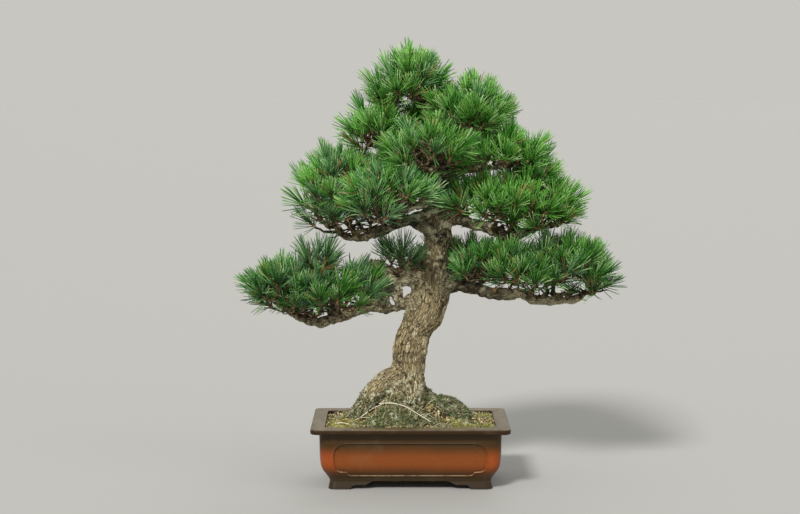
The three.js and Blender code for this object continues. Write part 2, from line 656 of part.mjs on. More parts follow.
// The soil's top is a grid laid over the pot's inside, and its sides are the inside of the pot, GAP clear of it.
// With a raise it is only the heap, that much higher.
function makeSoil(raise) {
  const halfLength = RIM_LENGTH / 2 - RIM_SHELF + 5;
  const halfWidth = RIM_WIDTH / 2 - RIM_SHELF + 5;
  const at = (i, j, z) => {
    const x = ((2 * i) / SOIL_COLUMNS - 1) * halfLength;
    const y = ((2 * j) / SOIL_ROWS - 1) * halfWidth;
    return vec(x, y, z ?? soilHeight(x, y) + raise);
  };
  const low = FLOOR_TOP - 5;
  const triangles = [];
  for (let i = 0; i < SOIL_COLUMNS; i++) {
    for (let j = 0; j < SOIL_ROWS; j++) {
      triangles.push([at(i, j), at(i + 1, j), at(i + 1, j + 1)], [at(i, j), at(i + 1, j + 1), at(i, j + 1)]);
    }
  }
  const edge = [];
  for (let i = 0; i < SOIL_COLUMNS; i++) edge.push([i, 0]);
  for (let j = 0; j < SOIL_ROWS; j++) edge.push([SOIL_COLUMNS, j]);
  for (let i = SOIL_COLUMNS; i > 0; i--) edge.push([i, SOIL_ROWS]);
  for (let j = SOIL_ROWS; j > 0; j--) edge.push([0, j]);
  edge.forEach(([i, j], n) => {
    const [k, l] = edge[(n + 1) % edge.length];
    triangles.push([at(i, j, low), at(k, l, low), at(k, l)], [at(i, j, low), at(k, l), at(i, j)]);
    triangles.push([at(k, l, low), at(i, j, low), vec(0, 0, low)]);
  });
  const heap = solidOf(surface(triangles));
  if (raise) return heap;
  const [floor, ...wall] = INSIDE.slice(0, -1);
  const room = [[FLOOR_TOP + GAP, floor[1], floor[2]], ...wall, [POT_HEIGHT, RIM_SHELF, 8], [150, RIM_SHELF, 8]];
  return heap.intersect(potBody(room, GAP + 0.1));
}

// A moss cushion: a low lumpy dome that follows the soil and the roots under it.
function makeMoss({ middle, half, thick, seed }, under) {
  const sides = 12;
  const rows = 4;
  const rings = Array.from({ length: rows }, (_, row) => {
    const share = Math.cos((row / rows) * (Math.PI / 2));
    return Array.from({ length: sides }, (_, j) => {
      const angle = (2 * Math.PI * j) / sides;
      const lump = 1 + 0.12 * (scatter(seed + row * 19 + j * 7) - 0.5);
      const x = middle[0] + half[0] * share * lump * Math.cos(angle);
      const y = middle[1] + half[1] * share * lump * Math.sin(angle);
      const climb = Math.sin((row / rows) * (Math.PI / 2));
      const high = row ? thick * climb * (0.8 + 0.4 * scatter(seed + row * 5 + j)) : -6;
      return vec(x, y, soilHeight(x, y) + high);
    });
  });
  return mainBody(loft(rings).subtract(under));
}

const MOSSES = {
  moss_mound_right: { middle: [54, -2], half: [31, 26], thick: 5, seed: 5 },
  moss_mound_front: { middle: [-12, -45], half: [50, 19], thick: 5, seed: 15 },
  moss_corner_left: { middle: [-90, -44], half: [21, 18], thick: 5, seed: 25 },
  moss_edge_right: { middle: [80, -46], half: [28, 16], thick: 5, seed: 45 },
  moss_back: { middle: [4, 54], half: [24, 10], thick: 4, seed: 65 },
};

// ---- the whole ----

const bonsai = new THREE.Group();
const pot = makePot();
const screens = [-1, 1].map((end) => makeScreen((end * DRAIN_SPACING) / 2));
const woodRoom = wood(GAP + 0.05); // the wood with the gap that its neighbours keep from it
const screenRoom = [-1, 1].map((end) =>
  solidOf(
    box(SCREEN_SIDE + 2 * GAP, SCREEN_SIDE + 2 * GAP, 2 * (SCREEN_THICKNESS + 3 * GAP)).translate(
      (end * DRAIN_SPACING) / 2,
      0,
      FLOOR_TOP,
    ),
  ),
);
const soil = mainBody(makeSoil(0).subtract(joined([woodRoom, ...screenRoom])));
const underMoss = makeSoil(GAP).add(woodRoom);
bonsai.add(meshOf("pot", pot, CLAY));
bonsai.add(meshOf("drain_screen_left", screens[0], PLASTIC));
bonsai.add(meshOf("drain_screen_right", screens[1], PLASTIC));
bonsai.add(meshOf("soil", soil, SOIL));
bonsai.add(meshOf("trunk_roots_and_branches", wood(0), BARK));
Object.entries(MOSSES).forEach(([name, moss]) => bonsai.add(meshOf(name, makeMoss(moss, underMoss), MOSS)));
growSprays(woodRoom).forEach((spray) => bonsai.add(spray));

const whole = new THREE.Box3().setFromObject(bonsai);
bonsai.position.set(-(whole.min.x + whole.max.x) / 2, -(whole.min.y + whole.max.y) / 2, -whole.min.z);

export default bonsai;
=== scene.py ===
"""A pine bonsai in an unglazed clay pot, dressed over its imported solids: flaky bark, paired needles in tufts,
moss, soil grains and fallen needles. Lengths here are millimetres round the middle of the pot, on the surface
that it stands on, until place() turns them into metres in the part's own frame."""

import math
from collections import namedtuple

import bmesh
import bpy
import numpy as np
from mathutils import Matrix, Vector, kdtree, noise


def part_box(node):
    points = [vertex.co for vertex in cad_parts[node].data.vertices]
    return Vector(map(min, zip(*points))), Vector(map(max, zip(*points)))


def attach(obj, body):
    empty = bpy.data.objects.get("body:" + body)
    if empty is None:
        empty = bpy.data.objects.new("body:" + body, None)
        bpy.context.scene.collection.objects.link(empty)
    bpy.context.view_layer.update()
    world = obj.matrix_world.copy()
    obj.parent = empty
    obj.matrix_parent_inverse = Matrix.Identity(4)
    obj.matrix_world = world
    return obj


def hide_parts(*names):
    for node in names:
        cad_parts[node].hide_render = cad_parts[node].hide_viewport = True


# Without a seed of its own, noise_vector gives other bends at every run
noise.seed_set(5)

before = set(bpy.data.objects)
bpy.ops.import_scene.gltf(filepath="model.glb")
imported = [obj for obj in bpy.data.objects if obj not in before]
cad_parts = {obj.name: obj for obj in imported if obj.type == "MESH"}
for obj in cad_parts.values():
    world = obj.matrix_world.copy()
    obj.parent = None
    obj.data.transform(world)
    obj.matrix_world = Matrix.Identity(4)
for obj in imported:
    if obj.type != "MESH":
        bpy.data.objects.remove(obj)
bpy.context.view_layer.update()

POT_LOW, POT_HIGH = (np.array(corner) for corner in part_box("pot"))
POT_MIDDLE = np.array([(POT_LOW[0] + POT_HIGH[0]) / 2, (POT_LOW[1] + POT_HIGH[1]) / 2, POT_LOW[2]])


def place(points):
    """Millimetres round the pot's middle, as metres in the part's frame."""
    return np.asarray(points, float) / 1000 + POT_MIDDLE


# ---- the camera of the photograph ----

# Focal length, sensor width, degrees below level and place
LENS, SENSOR_WIDTH, LOOKS_DOWN = 90, 36, 5.25
CAMERA_SPOT = (-14, -2697, 554)


def linked(name, data):
    """A new object in the scene."""
    made = bpy.data.objects.new(name, data)
    bpy.context.collection.objects.link(made)
    return made


def set_camera():
    lens = bpy.data.cameras.new("photo_camera")
    lens.lens, lens.sensor_width, lens.sensor_fit = LENS, SENSOR_WIDTH, "HORIZONTAL"
    lens.clip_start, lens.clip_end = 0.05, 50
    camera = linked("photo_camera", lens)
    camera.location = place(CAMERA_SPOT)
    camera.rotation_euler = (math.radians(90 - LOOKS_DOWN), 0, 0)
    bpy.context.scene.camera = camera


set_camera()

# ---- the tree's layout: the same rules and sizes as its solids ----

GOLDEN_ANGLE = 137.508
# Lean of a pad's outermost tufts in degrees, and the half width below which a pad's tufts lean less
PAD_LEAN, ROOMY_PAD = 62, 26
# How far a pad's stems end below its skin, and how near to another a finer tuft may stand
STEM_DROP, FILL_ROOM = 24, 7

# Middle lines of the wood: x, y, z, radius
TRUNK = [
    (-6, 0, 50, 34), (-6, 0, 84, 34), (-6, 0, 106, 31), (-5, 0, 126, 27), (-3, 0, 150, 23.5),
    (0, 0, 184, 23.5), (10, 0, 212, 24), (22, 0, 235, 27), (28, 0, 262, 27), (31, 0, 292, 21.5),
    (35, 0, 328, 16.5), (39, 2, 360, 13), (41, 2, 397, 11), (35, 0, 445, 9), (24, 0, 498, 7),
    (8, 0, 526, 4.5), (2, 0, 536, 3),
]
ROOTS = [
    [(-6, -2, 124, 25), (-24, -3, 110, 20), (-42, -4, 96, 15), (-54, -4, 80, 9)],
    [(-8, -4, 150, 12), (-30, -6, 141, 14), (-48, -12, 125, 14), (-62, -20, 106, 12), (-74, -26, 88, 9),
     (-84, -30, 70, 5)],
    [(-8, 4, 148, 11), (-31, 4, 139, 13), (-48, 8, 124, 13), (-63, 12, 106, 11), (-76, 14, 90, 9),
     (-90, 16, 70, 5)],
    [(4, 10, 124, 13), (22, 24, 110, 12), (36, 38, 97, 9), (48, 48, 86, 7), (54, 54, 70, 5)],
    [(-10, 10, 128, 13), (-20, 28, 112, 12), (-28, 44, 96, 9), (-34, 54, 84, 7), (-38, 58, 70, 5)],
]
LIMBS = {
    "low_left": [
        (24, 0, 280, 13), (-2, -2, 281, 13.5), (-26, -2, 275, 12.5), (-44, -3, 258, 11), (-60, -5, 241, 9.5),
        (-86, -8, 229, 8), (-112, -8, 220.5, 7.5), (-136, -8, 219, 6.5), (-162, -6, 232, 5),
        (-184, -3, 246, 3.5),
    ],
    "low_left_under": [(14, 0, 252, 8), (-8, -2, 243, 6.5), (-28, -3, 237, 6), (-54, -4, 238, 7)],
    "low_right": [
        (36, 0, 268, 12), (60, -1, 272, 10), (84, -3, 265, 8.5), (110, -4, 258, 8.5), (134, -5, 255, 7.5),
        (150, -5, 257, 7.5), (172, -6, 249, 6.5), (200, -6, 248, 6), (224, -5, 251, 5), (240, -3, 258, 3.5),
    ],
    "mid_left": [
        (34, 0, 372, 9), (14, -3, 360, 8.5), (-6, -5, 356, 8), (-28, -6, 347, 7), (-48, -7, 339, 6.5),
        (-66, -7, 333.5, 6), (-82, -6, 333, 6), (-95, -5, 341, 5), (-106, -4, 364, 3.5),
    ],
    "mid_right": [
        (44, 2, 384, 9), (60, 0, 363, 8.5), (80, -2, 352, 8.5), (100, -3, 347, 8), (118, -4, 339, 7.5),
        (137, -5, 334.5, 7), (152, -4, 340, 6.5), (170, -3, 347, 5), (194, -3, 349, 3.5),
    ],
    "upper_left": [
        (34, 0, 450, 6.5), (12, -3, 449, 6), (-10, -4, 448, 5.5), (-30, -4, 452, 5), (-54, -4, 458, 3.5),
    ],
    "upper_right": [
        (38, 0, 420, 7), (60, -2, 424, 7), (84, -4, 428, 6), (108, -4, 428, 5.5), (132, -4, 430, 4),
    ],
    "shoulder": [(26, 0, 484, 5.5), (44, -2, 484, 5.5), (64, -3, 487, 5), (84, -3, 490, 3.5)],
    "front_mid": [(36, -2, 392, 6.5), (24, -24, 384, 6), (2, -44, 376, 5), (-26, -58, 372, 3.5)],
    "front_upper": [(34, -2, 436, 6), (34, -24, 430, 5.5), (30, -44, 427, 4.5), (22, -58, 426, 3.5)],
    "back_low": [(28, 4, 262, 9), (34, 30, 264, 8), (46, 58, 258, 7), (60, 86, 254, 5.5), (70, 108, 254, 4)],
    "back_mid": [(38, 4, 400, 6.5), (28, 28, 398, 6), (14, 54, 392, 5), (4, 80, 390, 3.5)],
    "back_upper": [(28, 2, 470, 5.5), (34, 24, 468, 5), (44, 48, 468, 4), (50, 64, 470, 3.5)],
    "apex": TRUNK[-4:],
}
# Wood that fills the forks of the limbs, and the stubs of lost branches
STUBS = [
    [(36, 0, 334, 13), (20, -3, 347, 9), (2, -5, 354, 6.5)],
    [(40, 0, 334, 13), (50, 0, 352, 9), (66, -1, 358, 7)],
    [(-22, -3, 276, 12), (-35, -4, 287, 9), (-46, -5, 297, 6), (-53, -6, 303, 3)],
    [(-30, -3, 238, 5.5), (-34, -3, 252, 5.5), (-36, -3, 266, 7)],
    [(-14, -3, 241, 4), (-20, -6, 252, 4.5), (-26, -5, 266, 6)],
    [(-14, -5, 243, 5), (-13, -8, 256, 3.8), (-17, -6, 269, 5.5)],
]
# A pad of foliage: its limb, the middle and half size of its oval, the height of its edge, how far its dome
# rises over that, and how many tufts and sprays it has
Pad = namedtuple("Pad", "name limb middle half edge dome tufts sprays")
PADS = [Pad(*row) for row in (
    ("low_left", "low_left", (-130, -5), (76, 66), 250, 20, 15, 4),
    ("low_right", "low_right", (163, -8), (92, 68), 268, 26, 17, 5),
    ("mid_left", "mid_left", (-97, -4), (44, 58), 366, 46, 10, 3),
    ("mid_right", "mid_right", (140, -4), (72, 62), 358, 30, 13, 4),
    ("upper_left", "upper_left", (-46, -4), (26, 44), 470, 18, 6, 2),
    ("upper_right", "upper_right", (120, -4), (56, 56), 444, 22, 9, 3),
    ("shoulder", "shoulder", (70, -4), (42, 46), 492, 22, 7, 2),
    ("apex", "apex", (-8, 0), (40, 44), 532, 20, 8, 3),
    ("front_mid", "front_mid", (-28, -74), (42, 38), 388, 22, 6, 2),
    ("front_upper", "front_upper", (22, -68), (40, 36), 444, 24, 6, 2),
    ("back_low", "back_low", (66, 116), (62, 52), 270, 22, 9, 3),
    ("back_mid", "back_mid", (-6, 92), (60, 48), 400, 24, 8, 2),
    ("back_upper", "back_upper", (50, 74), (46, 40), 484, 20, 6, 2),
    ("low_left_high", "low_left", (-111, -24), (15, 14), 288, 6, 2, 1),
    ("crotch", "low_left", (-18, -22), (12, 12), 306, 4, 2, 1),
)]
# The finer tufts between a pad's own: middle, half, edge, dome, tufts, lean of the outermost
FILLS = {
    "low_left": [
        ((-172, -6), (38, 50), 265, 7, 28, 56), ((-108, -6), (58, 62), 248, 14, 34, 56),
        ((-160, -12), (30, 40), 244, 5, 8, 64), ((-124, -10), (22, 32), 237, 4, 5, 50),
        ((-64, -16), (14, 20), 265, 5, 5, 50), ((-62, -10), (9, 8), 273, 3, 4, 44),
    ],
    "low_right": [
        ((127, -8), (65, 60), 282, 23, 42, 56), ((207, -8), (46, 52), 281, 33, 36, 56),
        ((244, -8), (13, 26), 267, 6, 8, 70),
    ],
    "mid_left": [
        ((-93, -4), (49, 52), 390, 45, 38, 56), ((-100, -14), (30, 40), 357, 14, 12, 56),
        ((-38, -16), (24, 30), 358, 12, 8, 50),
    ],
    "mid_right": [
        ((171, -4), (40, 50), 370, 36, 30, 56), ((108, -6), (56, 56), 372, 24, 32, 56),
        ((184, -12), (24, 38), 357, 8, 11, 68), ((136, -16), (16, 14), 362, 3, 6, 60),
    ],
    "upper_left": [((-41, -4), (26, 42), 461, 20, 22, 56)],
    "upper_right": [((112, -4), (50, 54), 434, 18, 30, 56), ((161, -4), (13, 28), 421, 6, 8, 66)],
    "shoulder": [((85, -4), (36, 44), 496, 26, 28, 50), ((76, -36), (28, 16), 480, 10, 12, 62)],
    "apex": [((1, 0), (26, 34), 523, 37, 24, 50), ((-34, 0), (14, 26), 508, 8, 6, 60)],
    "front_mid": [((-28, -74), (42, 36), 388, 18, 22, 60), ((-54, -86), (20, 18), 374, 8, 8, 74)],
    "front_upper": [((22, -68), (40, 36), 442, 22, 24, 60)],
    "back_low": [((66, 116), (62, 52), 268, 22, 29, 60)],
    "back_mid": [((-6, 92), (60, 48), 398, 24, 26, 60)],
    "back_upper": [((50, 74), (46, 40), 482, 20, 22, 60)],
    "low_left_high": [((-128, -24), (12, 12), 292, 6, 4, 60)],
    "crotch": [((-14, -22), (12, 12), 306, 6, 5, 70)],
}
# How far a pad's tufts sit from those of its solids, to follow the photograph
NUDGES = {
    "low_left_high": (-12, 0, 4), "upper_left": (1, 0, 0), "upper_right": (-4, 0, -10),
    "shoulder": (-2, 0, -1), "mid_left": (4, 0, 7), "mid_right": (-5, 0, 4), "low_left": (0, 0, 3),
    "low_right": (-2, 0, 3),
}
# Pads whose needles are bluer than the rest, or below 0 less blue; each number's size also takes that much off
# the painted shade of the pad's low tufts, and at 1 all its tufts get the same deep painted shade
BLUISH = {
    "upper_right": -0.35, "mid_right": -0.2, "upper_left": -0.25, "mid_left": 0.35, "front_mid": 0.35,
    "low_left": 0.25, "crotch": 1, "low_left_high": 1,
}


def scatter(count):
    """A number from 0 to 1 that looks random and is the same each time, for each count."""
    s = math.sin(count * 12.9898) * 43758.5453
    return s - math.floor(s)


def through(points, steps):
    """A smooth list of points through a few, with so many steps between each two."""
    p = np.array(points, float)
    at = lambda i: p[min(max(i, 0), len(p) - 1)]
    smooth = []
    for i in range(len(p) - 1):
        a, b, c, d = at(i - 1), at(i), at(i + 1), at(i + 2)
        for s in range(steps):
            t = s / steps
            bend, twist = 2 * a - 5 * b + 4 * c - d, 3 * b - a - 3 * c + d
            smooth.append(0.5 * (2 * b + (c - a) * t + bend * t**2 + twist * t**3))
    return np.array(smooth + [p[-1]])


def on_cushion(middle, half, share, turn, height):
    """A place on a cushion, at a share of the way from its middle to its edge."""
    x = middle[0] + half[0] * share * math.cos(turn)
    return np.array([x, middle[1] + half[1] * share * math.sin(turn), height])


def heading(turn, out, up):
    """A direction: how far it goes out at that turn, and how far up."""
    return np.array([math.cos(turn) * out, math.sin(turn) * out, up])


def lay_tufts(pad, seed):
    """Where each tuft's shoot starts and which way it points."""
    tufts = []
    for i in range(pad.tufts):
        share = math.sqrt((i + 0.5) / pad.tufts)
        turn = math.radians(i * GOLDEN_ANGLE + 40 * scatter(seed + i))
        lean = math.radians(PAD_LEAN * share * min(pad.half[0] / ROOMY_PAD, 1))
        height = pad.edge + pad.dome * (1 - share * share) + 12 * (scatter(seed + i + 50) - 0.5)
        foot = on_cushion(pad.middle, pad.half, share, turn, height)
        tufts.append((foot, heading(turn, math.sin(lean), math.cos(lean))))
    return tufts


def fill_between(pad, own, seed):
    """More tufts between a pad's own ones, some of them lower, so that the cushion closes."""
    rows = [(name, *row) for name, group in FILLS.items() for row in group]
    tufts = []
    for number, (name, middle, half, edge, dome, count, most) in enumerate(rows):
        start = seed + 13 * number
        for i in range(count if name == pad.name else 0):
            share = math.sqrt((i + 0.5) / count)
            turn = math.radians(i * GOLDEN_ANGLE + 60 + 50 * scatter(start + 3 * i))
            lean = math.radians(most * share + 26 * (scatter(start + i + 31) - 0.5))
            height = edge + dome * (1 - share * share) + 3 - 15 * scatter(start + 5 * i + 7)
            foot = on_cushion(middle, half, share, turn, height)
            if min(np.linalg.norm(foot - other) for other, _ in own + tufts) > FILL_ROOM:
                tufts.append((foot, heading(turn, math.sin(lean), math.cos(lean))))
    return tufts


def lay_forks(pad):
    """The ends of the pad's stems."""
    reach = 0.55 if pad.sprays > 1 else 0
    height = pad.edge + pad.dome * (1 - reach * reach) - STEM_DROP
    turns = [math.radians(50 + 360 * k / pad.sprays) for k in range(pad.sprays)]
    return [on_cushion(pad.middle, pad.half, reach, turn, height) for turn in turns]


# ---- meshes ----


def new_piece(name, points, faces, smooth=True):
    mesh = bpy.data.meshes.new(name)
    mesh.from_pydata([tuple(p) for p in place(points)], [], [tuple(map(int, f)) for f in faces])
    mesh.validate()
    if smooth:
        mesh.shade_smooth()
    return linked(name, mesh)


def bands(start, rings, sides):
    """The faces between rings of points that follow each other."""
    return [
        (low + j, low + k, low + sides + k, low + sides + j)
        for low in range(start, start + (rings - 1) * sides, sides)
        for j, k in zip(range(sides), [*range(1, sides), 0])
    ]


def stack(rings):
    """Points and faces of a closed skin over rings of equal count, with a fan on each end."""
    n, last = len(rings[0]), (len(rings) - 1) * len(rings[0])
    low, high = last + n, last + n + 1
    faces = bands(0, len(rings), n)
    for j in range(n):
        k = (j + 1) % n
        faces += [(low, k, j), (high, last + j, last + k)]
    return np.vstack([*rings, rings[0].mean(0), rings[-1].mean(0)]), faces


def frames_along(path):
    """Two directions across a path at each of its points, without twist."""
    ahead = np.gradient(path[:, :3], axis=0)
    ahead /= np.linalg.norm(ahead, axis=1)[:, None]
    side = np.array([1.0, 0, 0]) if abs(ahead[0][0]) < 0.9 else np.array([0, 0, 1.0])
    sides = []
    for a in ahead:
        side = side - a * side.dot(a)
        side /= np.linalg.norm(side)
        sides.append(side)
    sides = np.array(sides)
    return sides, np.cross(ahead, sides)


def tube(path, count):
    """A closed tube along a path of (x, y, z, radius)."""
    angles = np.arange(count) * 2 * math.pi / count
    return stack([
        spot[:3] + spot[3] * (np.outer(np.cos(angles), side) + np.outer(np.sin(angles), across))
        for spot, side, across in zip(path, *frames_along(path))
    ])


def loop(turns, width, middle, squeeze=1):
    """Points round a middle at these turns, that far out, and squeezed along X."""
    x, y, z = middle
    return [(x + width * math.cos(a) * squeeze, y + width * math.sin(a), z) for a in turns]


def joined(parts):
    """Several lots of points and faces as one."""
    points, faces, start = [], [], 0
    for p, f in parts:
        points.append(p)
        faces.extend(tuple(start + i for i in face) for face in f)
        start += len(p)
    return np.concatenate(points), faces


def plain_mesh(piece, name=None):
    """The piece with its modifiers applied, as a plain mesh."""
    seen = piece.evaluated_get(bpy.context.evaluated_depsgraph_get())
    mesh = bpy.data.meshes.new_from_object(seen)
    piece.modifiers.clear()
    piece.data = mesh
    if name:
        piece.name = name
    return piece


def painted(piece, material):
    """The piece in one material."""
    piece.data.materials.clear()
    piece.data.materials.append(material)
    return piece


def copy_of(piece):
    """A second piece like it, with a skin of its own."""
    copy = piece.copy()
    copy.data = piece.data.copy()
    bpy.context.collection.objects.link(copy)
    return copy


def points_of(piece):
    points = np.empty(len(piece.data.vertices) * 3, np.float32)
    piece.data.vertices.foreach_get("co", points)
    return (points.reshape(-1, 3) - POT_MIDDLE) * 1000


def set_numbers(mesh, **numbers):
    """Gives the points of a mesh these numbers."""
    for name, values in numbers.items():
        mesh.attributes.new(name, "FLOAT", "POINT").data.foreach_set("value", np.asarray(values, np.float32))


def set_vectors(mesh, name, values):
    column = mesh.attributes.new(name, "FLOAT_VECTOR", "POINT")
    column.data.foreach_set("vector", np.asarray(values, np.float32).ravel())


def wander(spot, scale, shift=(0, 0, 0)):
    """A smooth random step for a place, the same each time."""
    return np.array(noise.noise_vector(Vector(spot) * scale + Vector(shift)))


def limited(value, low=0, high=1):
    return min(max(value, low), high)


def smooth_step(x, low, high):
    t = np.clip((x - low) / (high - low), 0, 1)
    return t * t * (3 - 2 * t)


# ---- node trees ----


class Wire:
    """A node's output. Sums written with it add the Math nodes that work them out."""

    def __init__(self, tree, socket):
        self.tree, self.socket = tree, socket

    def sum(self, operation, *values):
        return self.tree.node("ShaderNodeMath", {"operation": operation}, dict(enumerate(values)))

    def __add__(self, other):
        return self.sum("ADD", self, other)

    def __sub__(self, other):
        return self.sum("SUBTRACT", self, other)

    def __mul__(self, other):
        return self.sum("MULTIPLY", self, other)

    def __truediv__(self, other):
        return self.sum("DIVIDE", self, other)

    def __rsub__(self, other):
        return self.sum("SUBTRACT", other, self)

    def sine(self):
        return self.sum("SINE", self)

    def cosine(self):
        return self.sum("COSINE", self)

    def between(self, low, high):
        """0 below low, 1 above high and smooth between them."""
        values = {"Value": self, "From Min": low, "From Max": high}
        return self.tree.node("ShaderNodeMapRange", {"interpolation_type": "SMOOTHSTEP"}, values)

    def below(self, low, high):
        """1 below low, 0 above high and smooth between them."""
        return 1.0 - self.between(low, high)

    def within(self, low, full, fades, high):
        """0 outside low and high, 1 from full to fades and smooth between them."""
        return self.between(low, full) * self.below(fades, high)


class Tree:
    """A node tree that is built by calls."""

    def __init__(self, tree):
        self.tree = tree

    def feed(self, socket, value):
        if isinstance(value, Wire):
            self.tree.links.new(value.socket, socket)
        else:
            socket.default_value = value

    def node(self, kind, settings=None, values=None, out=0):
        """Adds a node and gives the output named out, or the whole node where out is None."""
        made = self.tree.nodes.new(kind)
        for key, value in (settings or {}).items():
            setattr(made, key, value)
        for key, value in (values or {}).items():
            self.feed(self.pick(made.inputs, key), value)
        return made if out is None else Wire(self, self.pick(made.outputs, out))

    @staticmethod
    def pick(sockets, key):
        """The socket of that name among those in use, or the one at that place."""
        if isinstance(key, int):
            return [s for s in sockets if s.enabled][key]
        return next(s for s in sockets if s.enabled and s.name == key)

    def vector(self, operation, *values, **more):
        values = {**dict(enumerate(values)), **more}
        return self.node("ShaderNodeVectorMath", {"operation": operation}, values)

    def upright(self, length):
        return self.node("ShaderNodeCombineXYZ", {}, {2: length})


class Finish(Tree):
    """A material: a Principled surface whose sockets are set by name."""

    def __init__(self, name):
        self.material = bpy.data.materials.new(name)
        self.material.use_nodes = True
        super().__init__(self.material.node_tree)
        self.surface = self.tree.nodes["Principled BSDF"]

    def set(self, **values):
        for key, value in values.items():
            self.feed(self.surface.inputs[key.replace("_", " ").title().replace("Ior", "IOR")], value)
        return self.material

    def where(self):
        return self.node("ShaderNodeTexCoord", out="Object")

    def number(self, name):
        return self.node("ShaderNodeAttribute", {"attribute_name": name}, out="Fac")

    def vector_of(self, name):
        return self.node("ShaderNodeAttribute", {"attribute_name": name}, out="Vector")

    def noise(self, at, scale, detail, rough=0.55):
        values = {"Vector": at, "Scale": scale, "Detail": detail, "Roughness": rough}
        return self.node("ShaderNodeTexNoise", {}, values)

    def patches(self, at, scale, detail, low, high):
        """Soft patches: 0 where a noise is under low and 1 where it is over high."""
        return self.noise(at, scale, detail).between(low, high)

    def edges(self, at):
        """How far a place is from the edge of its cell."""
        values = {"Vector": at, "Scale": 1.0}
        return self.node("ShaderNodeTexVoronoi", {"feature": "DISTANCE_TO_EDGE"}, values)

    def mix(self, share, a, b):
        """Colour a where share is 0 and b where it is 1."""
        solid = lambda c: c if isinstance(c, Wire) else (*c, 1.0)
        values = {"Factor": share, "A": solid(a), "B": solid(b)}
        return self.node("ShaderNodeMix", {"data_type": "RGBA"}, values, out="Result")

    def coats(self, base, *rows):
        """One coat over another: how much of it, and its colour."""
        for share, colour in rows:
            base = self.mix(share, base, colour)
        return base

    def bump(self, height, depth):
        return self.node("ShaderNodeBump", {}, {"Height": height, "Distance": depth, "Strength": 1.0})

    def part_of(self, at, axis):
        """One number of a place: X, Y or Z."""
        return self.node("ShaderNodeSeparateXYZ", {}, {0: at}, out=axis)


def tone(r, g, b):
    """A colour given as it is seen, 0 to 255, as the light that a material takes."""
    return tuple(((c / 255 + 0.055) / 1.055) ** 2.4 if c > 10 else c / 255 / 12.92 for c in (r, g, b))


class Grower(Tree):
    """A Geometry Nodes tree with named inputs, that turns a piece into a plain mesh."""

    KINDS = {int: "Int", float: "Float", str: "Object", type(None): "Material"}

    def __init__(self, name, **inputs):
        super().__init__(bpy.data.node_groups.new(name, "GeometryNodeTree"))
        self.names = {}
        add = self.tree.interface.new_socket
        add("Geometry", in_out="INPUT", socket_type="NodeSocketGeometry")
        for key, value in inputs.items():
            item = add(key, in_out="INPUT", socket_type="NodeSocket" + self.KINDS[type(value)])
            if isinstance(value, (int, float)):
                item.default_value = value
            self.names[key] = item.identifier
        add("Geometry", in_out="OUTPUT", socket_type="NodeSocketGeometry")
        self.inlet = self.tree.nodes.new("NodeGroupInput")
        self.outlet = self.tree.nodes.new("NodeGroupOutput")

    def given(self, name):
        return Wire(self, self.inlet.outputs[name])

    def number(self, name, kind="FLOAT"):
        return self.node("GeometryNodeInputNamedAttribute", {"data_type": kind}, {"Name": name})

    def vector_of(self, name):
        return self.number(name, "FLOAT_VECTOR")

    def chance(self, low, high, seed, kind="FLOAT"):
        values = {"Min": low, "Max": high, "Seed": seed}
        return self.node("FunctionNodeRandomValue", {"data_type": kind}, values)

    def turned_to(self, direction, start=None, axis="Z", pivot="AUTO"):
        values = {"Vector": direction}
        if start:
            values["Rotation"] = start
        return self.node("FunctionNodeAlignRotationToVector", {"axis": axis, "pivot_axis": pivot}, values)

    def spun(self, rotation, angle):
        """The rotation after a spin round its own upright."""
        spin = self.node("FunctionNodeEulerToRotation", {}, {0: self.upright(angle)})
        values = {"Rotation": rotation, "Rotate By": spin}
        return self.node("FunctionNodeRotateRotation", {"rotation_space": "LOCAL"}, values)

    def moved(self, points, step):
        return self.node("GeometryNodeSetPosition", {}, {"Geometry": points, "Offset": step})

    def repeated(self, shape, points, rotation, size):
        """The shape of that input on each point."""
        shape = self.node("GeometryNodeObjectInfo", {}, {"Object": self.given(shape)}, out="Geometry")
        values = {"Points": points, "Instance": shape, "Rotation": rotation, "Scale": size}
        return self.node("GeometryNodeInstanceOnPoints", {}, values)

    def kept(self, instances, name, value):
        """Gives each repeated shape a number of that name."""
        settings = {"data_type": "FLOAT", "domain": "INSTANCE"}
        values = {"Geometry": instances, "Name": name, "Value": value}
        return self.node("GeometryNodeStoreNamedAttribute", settings, values)

    def finished(self, instances):
        """Ends the tree: real meshes in the material that was given."""
        real = self.node("GeometryNodeRealizeInstances", {}, {"Geometry": instances})
        values = {"Geometry": real, "Material": self.given("Material")}
        looks = self.node("GeometryNodeSetMaterial", {}, values)
        self.tree.links.new(looks.socket, self.outlet.inputs[0])

    def grow(self, piece, name, **inputs):
        """Puts the tree on the piece, with these inputs, and makes the result its mesh."""
        modifier = piece.modifiers.new("grower", "NODES")
        modifier.node_group = self.tree
        for key, value in inputs.items():
            modifier[self.names[key]] = value
        return plain_mesh(piece, name)


def hidden_model(name, points, faces, **numbers):
    """A small shape, at its own origin and in its own units, that a tree repeats."""
    mesh = bpy.data.meshes.new(name)
    mesh.from_pydata([tuple(p) for p in points], [], [tuple(map(int, f)) for f in faces])
    mesh.shade_smooth()
    set_numbers(mesh, **numbers)
    return bpy.data.objects.new(name, mesh)


# ---- finishes ----


